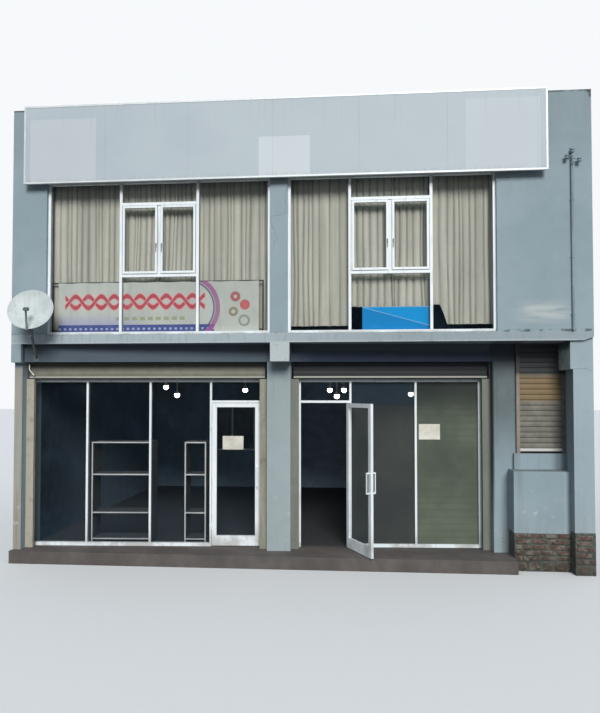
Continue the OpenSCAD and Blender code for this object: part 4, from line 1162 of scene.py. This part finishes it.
# %% Hang the banner
TIES, COLUMNS, LINES = 8, 112, 20
ASIDE = 0.045
banner_wide, banner_tall = banner_high.x - banner_low.x, banner_high.z - banner_low.z
banner_mid = (banner_low.y + banner_high.y) / 2
corners = []
for line in range(LINES + 1):
    up = line / LINES
    for column in range(COLUMNS + 1):
        across = column / COLUMNS
        ripple = noise.noise(Vector((across * 9, up * 2.2, 8.4))) * 0.009
        swing = math.cos(2 * math.pi * across * TIES)
        pucker = 0.004 * swing * up**3
        sag = 0.008 * (0.5 - 0.5 * swing) * up**6
        corners.append((banner_low.x + ASIDE + banner_wide * across,
                        banner_mid - 0.004 + ripple * 0.55 + pucker * 0.5,
                        banner_low.z + banner_tall * up - sag))
banner = make_piece("banner_sheet", corners, sheet_faces(COLUMNS, LINES), smooth=True)
banner_finish.onto(banner)
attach(banner, "building")
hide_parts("banner")
print("banner", round(banner_wide, 2), "by", round(banner_tall, 2))

# %% [markdown]
# ## The blue panel
#
# A plastic board leans behind the right window. It keeps its CAD shape and gets a plain design: two blues that meet
# in a slanting line, a pale edge, and the scuffs that a leaning board collects. A slanting line is where a sum of
# both coordinates passes a limit, so it needs no drawing.

# %% Finish the blue panel
panel_low, panel_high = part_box("blue_panel")
SLOPE = 0.28


def blue_board():
    f = Finish("blue_board", {"Specular IOR Level": 0.1})
    scuffs = f.noise(1, detail=6, roughness=0.7, stretch=(5, 5, 12))
    slant = (f.x - panel_low.x) * SLOPE + (f.z - panel_low.z)
    colour = f.mix(slant.rise(0.36, 0.38), "#1086c8", "#0e98dc")
    colour = f.mix(slant.inside(0.365, 0.375, 0.003) * 0.6, colour, "#9fcbe2")
    edge = f.z.rise(panel_high.z - 0.012, panel_high.z - 0.008)
    colour = f.mix(edge * 0.7, colour, "#a9c3cf")
    f.colour(f.mix(scuffs.rise(0.58, 0.7) * 0.2, colour, "#6f97ad"))
    f.gloss(0.35 + 0.3 * scuffs)
    f.bump(scuffs, 0.0005)
    return f


blue_board().onto("blue_panel")
print("blue panel", round(panel_high.x - panel_low.x, 2), "wide")

# %% [markdown]
# ## Painted steel
#
# The curtain rods, the guard rail, the conduit and the dish mount are all painted or galvanised steel that has
# weathered, so one function makes them: a base colour, a worn colour for the chips, and rust in a few of the chips.
# It can also paint shade on every face that doesn't look at the street, which the shelves get.

# %% Finish the steel parts
def weathered_steel(name, base, worn, rust_share, gloss, painted_shade_away=0.0):
    f = Finish(name, {"Metallic": 0.2})
    chips = f.noise(42, detail=5, roughness=0.7)
    broad = f.noise(3.5, detail=5)
    colour = f.mix(broad.rise(0.35, 0.65) * 0.6, base, worn)
    colour = f.mix(chips.rise(0.62, 0.7) * 0.7, colour, worn)
    rust = (chips * 0.5 + broad * 0.5).rise(0.60 - rust_share * 0.1, 0.68)
    colour = f.mix(rust * rust_share, colour, "#7a4a2c")
    # Painted shade on every face that doesn't look at the street.
    if painted_shade_away:
        colour = f.mix(f.facing("Y").rise(-0.9, -0.5) * painted_shade_away, colour, "#1b2024")
    f.colour(colour)
    f.gloss(gloss + 0.3 * broad)
    f.bump(chips, 0.0008)
    return f


rail_finish = weathered_steel("dark_steel", "#25292b", "#4a4f50", 0.5, 0.45)
steel_finish = weathered_steel("grey_steel", "#5d6468", "#868c8e", 0.7, 0.45)
conduit_finish = weathered_steel("painted_conduit", "#8fa0a8", "#74838c", 0.2, 0.6)
shelf_finish = weathered_steel("shelf_metal", "#b4b8b7", "#d2d4d0", 0.2, 0.4, painted_shade_away=0.85)
rail_finish.onto("curtain_rods", "guard_rail")
steel_finish.onto("dish_mount")
conduit_finish.onto("conduit")
shelf_finish.onto("display_shelves")
print("steel", *(f.material.name for f in (rail_finish, steel_finish, conduit_finish, shelf_finish)))

# %% [markdown]
# ## Roller shutters
#
# A rolled-up shutter shows only its last slats and its bottom bar. The slats are close ribs of pressed sheet, so a
# wave along Z makes both their painted shade and their bump. Painted shade also darkens the shop shutters towards the
# top and across the right bay. The hatch shutter is down, and its slats are modelled in the CAD. Its finish adds a
# tan band of painted sunlight, painted shade along its top, grime in the grooves, and different paint on its guides.

# %% Finish the shop shutters
coil_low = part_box("roller_shutters")[0]
centre_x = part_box("centre_column")[0].x
SLAT, BAR = 0.078, 0.036


def shutter_paint():
    f = Finish("shutter_paint", {"Specular IOR Level": 0.15})
    x, z = f.x, f.z
    bar_top = coil_low.z + BAR
    dust = f.noise(6, detail=6, roughness=0.65)
    rib = ((z - coil_low.z - BAR) % SLAT) / SLAT
    groove = (rib - 0.5).size().rise(0.43, 0.5)
    colour = f.mix(dust.rise(0.35, 0.7), "#7b7a6e", "#8a877c")
    # Painted shade: the slats darken towards the top, under the beam.
    colour = f.mix(z.rise(coil_low.z + 0.11, coil_low.z + 0.18) * 0.7, colour, "#2e3232")
    colour = f.mix(groove * 0.6, colour, "#55524a")
    bar = z.inside(coil_low.z - 0.01, bar_top, 0.001)
    colour = f.mix(bar * 0.85, colour, "#b4b5ac")
    colour = f.mix(z.inside(coil_low.z - 0.01, coil_low.z + 0.010, 0.001), colour, "#26282a")
    scratches = f.noise(1, detail=5, stretch=(3, 3, 60))
    colour = f.mix(scratches.rise(0.56, 0.7) * 0.35, colour, "#7d7a6d")
    in_shade = x.rise(centre_x, centre_x + 0.4) * z.rise(bar_top, bar_top + 0.004)
    f.colour(f.mix(in_shade * 0.9, colour, "#23262e"))
    f.gloss(0.42 + 0.3 * dust)
    f.bump((rib * math.pi).sine() * (1 - bar) + dust * 0.2, 0.008, 0.7)
    return f


shutter_paint().onto("roller_shutters")
print("shutters hang to", round(coil_low.z, 3))

# %% Finish the guides
LEFT_GUIDE = -3.7


def guide_paint():
    f = Finish("guide_paint", {"Metallic": 0.1})
    rubbed = f.noise(1, detail=6, roughness=0.65, stretch=(12, 12, 1.5))
    grime = f.noise(7, detail=6, roughness=0.65)
    colour = f.mix(rubbed.rise(0.35, 0.65), "#888678", "#9b998c")
    colour = f.mix(f.x.fall(LEFT_GUIDE - 0.1, LEFT_GUIDE) * 0.9, colour, "#b1ad9e")
    colour = f.mix(f.x.rise(centre_x, centre_x + 0.3) * 0.6, colour, "#5d6863")
    colour = f.mix(grime.rise(0.52, 0.7) * 0.45, colour, "#6f6c5f")
    f.colour(f.mix(grime.rise(0.66, 0.74) * 0.6, colour, "#7a5238"))
    f.gloss(0.5 + 0.3 * grime)
    f.bump(grime, 0.0015)
    return f


guide_paint().onto("shutter_guides")
print("paler left of", LEFT_GUIDE, "and greyer right of", round(centre_x, 2))

# %% Finish the hatch shutter
hatch_low, hatch_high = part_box("hatch_shutter")
GUIDE, HATCH_BAR = 0.052, 0.071
LIT_BAND_FROM, LIT_BAND_TO, SHADE_FROM = 0.69, 1.06, 1.02


def hatch_paint():
    f = Finish("hatch_paint", {"Specular IOR Level": 0.2})
    x, z = f.x, f.z
    dust = f.noise(5, detail=6, roughness=0.65)
    rub = f.noise(1, detail=5, stretch=(2.5, 2.5, 40))
    foot = hatch_low.z + HATCH_BAR
    slat = ((z - foot) % SLAT) / SLAT
    groove = (slat - 0.5).size().rise(0.40, 0.49)
    tone = dust.rise(0.35, 0.65)
    colour = f.mix(tone, "#747269", "#87857b")
    # Painted sunlight: a tan band across the slats where the light reaches below the ledge's shade.
    painted_sunlit_band = z.inside(foot + LIT_BAND_FROM, foot + LIT_BAND_TO, 0.05)
    colour = f.mix(painted_sunlit_band * (0.5 + 0.4 * dust), colour, "#8e754e")
    colour = f.mix(rub.rise(0.54, 0.7) * 0.3, colour, "#756f62")
    colour = f.mix(groove * 0.7, colour, "#3c3833")
    near, far = hatch_low.x + GUIDE, hatch_high.x - GUIDE
    colour = f.mix(x.fall(near - 0.004, near), colour, f.mix(tone, "#8a8078", "#9c9187"))
    colour = f.mix(x.rise(far, far + 0.004), colour, f.mix(tone, "#74747a", "#8b8a8e"))
    # Painted shade: the top slats darken in the shadow of the ledge.
    colour = f.mix(z.rise(foot + SHADE_FROM, foot + SHADE_FROM + 0.1) * 0.84, colour, "#1c232c")
    between = x.inside(near, far, 0.002)
    colour = f.mix(z.inside(hatch_low.z - 0.01, foot, 0.002) * between, colour, "#cfd0cc")
    seal = z.fall(hatch_low.z + 0.030, hatch_low.z + 0.034) * between
    f.colour(f.mix(seal, colour, "#17181a"))
    f.gloss(0.45 + 0.35 * dust)
    f.bump(dust * 0.6 - groove * 0.6, 0.003, 0.7)
    return f


hatch_paint().onto("hatch_shutter")
print("hatch", round(hatch_high.x - hatch_low.x, 2), "wide")

# %% [markdown]
# ## The dish
#
# The dish is pressed steel under chalky white paint. Its bowl is true in the CAD, so only the finish is made here:
# cloudy chalk, faint runs from the rain, and rust where the paint has chipped, all from two noises.

# %% Finish the dish
def chalky_white():
    f = Finish("chalky_white", {"Metallic": 0.05})
    chalk = f.noise(6, detail=6, roughness=0.6)
    runs = f.noise(1, detail=5, stretch=(22, 22, 2.5))
    colour = f.mix(chalk.rise(0.35, 0.65), "#bac4c5", "#c9d1d1")
    colour = f.mix(runs.rise(0.52, 0.68) * 0.3, colour, "#949b98")
    f.colour(f.mix(chalk.rise(0.68, 0.76) * 0.6, colour, "#8a6648"))
    f.gloss(0.4 + 0.3 * chalk)
    f.bump(chalk, 0.001)
    return f


chalky_white().onto("satellite_dish")
dish_low, dish_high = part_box("satellite_dish")
print("dish", round(dish_high.x - dish_low.x, 2), "by", round(dish_high.z - dish_low.z, 2))

# %% [markdown]
# ## Lamps
#
# The hanging lamps are lit, and they are the brightest points of the dark shop. The shade is plain plastic. The bulb
# is a separate skin around the CAD bulb that gives off light, so the shade's own finish stays as it is.

# %% Light the lamps
shade = Finish("lamp_shade", {"Roughness": 0.4})
yellowed = shade.noise(9, detail=4)
shade.colour(shade.mix(yellowed.rise(0.35, 0.65), "#d9d5c6", "#ece9de"))
shade.bump(yellowed, 0.0005)
shade.onto("hanging_lamps")

glow = Finish("lit_bulb", {"Roughness": 0.5, "Base Color": (1, 1, 1, 1), "Emission Color": (1, 0.97, 0.9, 1),
                           "Emission Strength": 7.0})
# Each one: share of the room's width, distance behind the front, length of the stem
LAMPS = ((0.214, 1.6, 0.555), (0.252, 1.2, 0.692), (0.386, 1.5, 0.608), (0.562, 1.5, 0.608),
         (0.577, 1.1, 0.708), (0.591, 1.5, 0.608), (0.719, 0.9, 0.676))
BULB_RADIUS, BELOW_STEM = 0.0435, 0.06
bulbs = bmesh.new()
for share, back, stem in LAMPS:
    spot = Vector((inner_left + share * (inner_right - inner_left), front + back, slab_low - stem - BELOW_STEM))
    bmesh.ops.create_icosphere(bulbs, subdivisions=3, radius=BULB_RADIUS, matrix=Matrix.Translation(spot))
lit_bulbs = keep_mesh("lit_bulbs", bulbs)
glow.onto(lit_bulbs)
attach(lit_bulbs, "building")
print("lamps", len(LAMPS))

# %% [markdown]
# ## The loose pipe
#
# A short end of plastic pipe hangs beside the left shutter guide and kinks towards it. A curve with a bevel would
# do, but a ring of corners swept along a few points is as short in code, and it is a plain mesh from the start.

# %% Bend the loose pipe
PIPE_RADIUS, PIPE_BACK = 0.009, 0.20
# Each bend: x, and height above the pavement
BENDS = ((-3.984, 2.935), (-3.984, 2.905), (-3.984, 2.875), (-3.984, 2.853), (-3.979, 2.838), (-3.966, 2.822),
         (-3.949, 2.802), (-3.929, 2.778), (-3.912, 2.758))


def tube(name, path, radius):
    """A smooth pipe along a path of points, with open ends."""
    corners, faces = [], []
    for i, spot in enumerate(path):
        along = (path[min(i + 1, len(path) - 1)] - path[max(i - 1, 0)]).normalized()
        side = along.cross(Vector((0, 1, 0))).normalized()
        up = side.cross(along)
        for k in range(AROUND):
            turn = 2 * math.pi * k / AROUND
            corners.append(spot + (side * math.cos(turn) + up * math.sin(turn)) * radius)
    for i in range(len(path) - 1):
        for k in range(AROUND):
            a, b = i * AROUND + k, i * AROUND + (k + 1) % AROUND
            faces.append((a, b, b + AROUND, a + AROUND))
    return make_piece(name, corners, faces, smooth=True)


loose_pipe = tube("loose_pipe", [Vector((x, front + PIPE_BACK, z)) for x, z in BENDS], PIPE_RADIUS)
shade.onto(loose_pipe)
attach(loose_pipe, "building")
print("pipe points", len(BENDS))

# %% [markdown]
# ## Roof, gutter and rafters
#
# The roof can't be seen from the street, but the part is looked at from above too. Corrugated sheets are laid with
# side laps, fixed with capped screws on the ridges above each purlin, and they rust from the laps outward. The waves
# are in the CAD, so the finish only has to know how wide one is, to put a lap after every fifth.

# %% Finish the roof
roof_low, roof_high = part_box("roof_sheets")
WAVE, WAVES_A_SHEET, SHEET_LENGTH = 0.177, 5, 2.4


def roof_sheet():
    f = Finish("weathered_roof_sheet", {"Metallic": 0.3})
    dull = f.noise(1.2, detail=6, roughness=0.6)
    run = f.noise(1, detail=5, stretch=(9, 0.5, 9))
    across = (f.x - roof_low.x) % (WAVE * WAVES_A_SHEET)
    lap = across.fall(0.004, 0.012)
    end = ((f.y - front + 0.4) % SHEET_LENGTH).fall(0.006, 0.016)
    colour = f.mix(dull.rise(0.35, 0.65), "#86888a", "#a1a2a0")
    colour = f.mix(run.rise(0.52, 0.68) * 0.5, colour, "#6c665f")
    rusty = across.fall(0.02, 0.16) * run.rise(0.45, 0.6)
    colour = f.mix(rusty * 0.6, colour, "#7d5236")
    f.colour(f.mix(lap.most(end) * 0.7, colour, "#4b4a48"))
    f.gloss(0.4 + 0.35 * dull)
    f.bump(dull * 0.4 - lap - end, 0.003)
    return f


roof_sheet().onto("roof_sheets")
print("roof", round(roof_high.x - roof_low.x, 2), "by", round(roof_high.y - roof_low.y, 2))

# %% Finish the rafters and the gutter
def sawn_timber():
    f = Finish("sawn_timber", {"Roughness": 0.85})
    rings = f.noise(1, detail=6, roughness=0.6, stretch=(28, 1.5, 28))
    knots = f.cells(3.2, "F1").fall(0.05, 0.12)
    colour = f.mix(rings.rise(0.35, 0.65), "#7a684e", "#9c8767")
    f.colour(f.mix(knots * 0.6, colour, "#4e3d2a"))
    f.bump(rings, 0.002)
    return f


def chalky_plastic():
    f = Finish("chalky_plastic")
    chalk = f.noise(4, detail=6, roughness=0.6)
    green = f.noise(1, detail=5, stretch=(8, 8, 1.4))
    colour = f.mix(chalk.rise(0.35, 0.65), "#c2c2bb", "#d8d8d2")
    f.colour(f.mix(green.rise(0.55, 0.7) * 0.45, colour, "#85887a"))
    f.gloss(0.45 + 0.3 * chalk)
    f.bump(chalk, 0.001)
    return f


sawn_timber().onto("roof_frame")
chalky_plastic().onto("rear_gutter")

# %% Screw down the roof
ROOF_FALL = math.radians(5)
PURLINS = 7
first, last = front + FRONT_WALL + 0.085, rear + 0.075
screw_spots = []
for i in range(PURLINS):
    y = first + (last - first) * i / (PURLINS - 1)
    ridge_z = roof_high.z - math.tan(ROOF_FALL) * (y - (front + FRONT_WALL + 0.009))
    for k in range(1, int((roof_high.x - roof_low.x) / WAVE), 2):
        screw_spots.append(Vector((roof_low.x + WAVE * (k + 0.5), y, ridge_z - 0.001)))
screws = domes("roof_screws", screw_spots, 0.011, 0.007, (0, math.sin(ROOF_FALL), math.cos(ROOF_FALL)))
steel_finish.onto(screws)
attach(screws, "building")
print("roof screws", len(screw_spots))

# %% [markdown]
# ## Notices
#
# Two blank sheets of paper are taped to the glass, one inside the left door and one outside the right bay. Paper that
# has hung in the sun yellows, and its corners curl away from the pane: each sheet is a fine grid whose corners lift.

# %% Tape up the notices
HALF_PANE, CLEAR = 0.003, 0.003
ACROSS, UP = 10, 12


def old_paper():
    f = Finish("old_paper", {"Roughness": 0.9})
    yellow = f.noise(7, detail=4)
    creases = f.cells(9).fall(0.004, 0.02)
    colour = f.mix(yellow.rise(0.35, 0.65), "#d9d6c8", "#e9e7dc")
    f.colour(f.mix(creases * 0.25, colour, "#b3afa0"))
    f.bump(creases * -1 + yellow, 0.0008)
    return f


paper_finish = old_paper()


def notice(name, u, z, width, height, face, away, body):
    """A sheet of paper whose middle lies on the face of the glass and whose corners curl away, 1 or -1, from it."""
    corners = []
    for j in range(UP + 1):
        for i in range(ACROSS + 1):
            s, t = i / ACROSS, j / UP
            curl = 0.010 * (abs(2 * s - 1) ** 4) * (abs(2 * t - 1) ** 3)
            wave = 0.0015 * noise.noise(Vector((s * 4, t * 4, u)))
            corners.append(on_line(u + width * s, face + away * (CLEAR + curl + wave), z + height * t))
    piece = make_piece(name, corners, sheet_faces(ACROSS, UP), smooth=True)
    paper_finish.onto(piece)
    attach(piece, body)
    return f"{name} {width} by {height}"


inside, outside = DOOR_GLASS_LINE + HALF_PANE, GLASS_LINE - HALF_PANE
print(notice("door_notice", 2.957, 1.635, 0.317, 0.205, inside, 1, "left_door"))
print(notice("bay_notice", 5.925, 1.793, 0.317, 0.233, outside, -1, "building"))

# %% [markdown]
# ## Casement handles
#
# Each meeting stile of the casements has a lever handle: a flat base plate and a lever that tapers. Both are cut from
# one chamfered profile, because a chamfer catches the light as a cast handle's edge does.

# %% Fit the casement handles
HANDLE_UP, FROM_MIDDLE = 0.42, 0.015 + 0.026
PLATE_HALF, PLATE_WIDE, PLATE_THICK = 0.03, 0.018, 0.006


def tapered_bar(bm, start, end, wide, narrow, thick):
    """A bar from start to end that is wide at start and narrow at end, with a chamfer all round."""
    along = (end - start).normalized()
    out = Vector((0, -1, 0))
    side = along.cross(out).normalized()
    profile = ((-1, 0), (-1, 0.6), (-0.6, 1), (0.6, 1), (1, 0.6), (1, 0))
    rings = []
    for spot, width in ((start, wide), (end, narrow)):
        rings.append([bm.verts.new(spot + side * a * width / 2 + out * b * thick) for a, b in profile])
    n = len(profile)
    for k in range(n):
        bm.faces.new((rings[0][k], rings[0][(k + 1) % n], rings[1][(k + 1) % n], rings[1][k]))
    bm.faces.new(rings[0][::-1])
    bm.faces.new(rings[1])


handles = bmesh.new()
sash_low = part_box("casement_sashes")[0]
handle_z = sash_low.z + HANDLE_UP
handle_places = [start + CASEMENT_BAY / 2 + side * FROM_MIDDLE
                 for start in (left_mullions[0], right_mullions[0]) for side in (-1, 1)]
for x in handle_places:
    stile = Vector((x, sash_low.y, handle_z))
    tapered_bar(handles, stile - Vector((0, 0, PLATE_HALF)), stile + Vector((0, 0, PLATE_HALF)),
                PLATE_WIDE, PLATE_WIDE, PLATE_THICK)
    tapered_bar(handles, stile + Vector((0, -PLATE_THICK, 0.012)), stile + Vector((0, -2 * PLATE_THICK, -0.095)),
                0.014, 0.009, 0.007)
casement_handles = keep_mesh("casement_handles", handles, smooth=False)
steel_finish.onto(casement_handles)
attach(casement_handles, "building")
print("handles", len(handle_places))

# %% [markdown]
# ## Finish
#
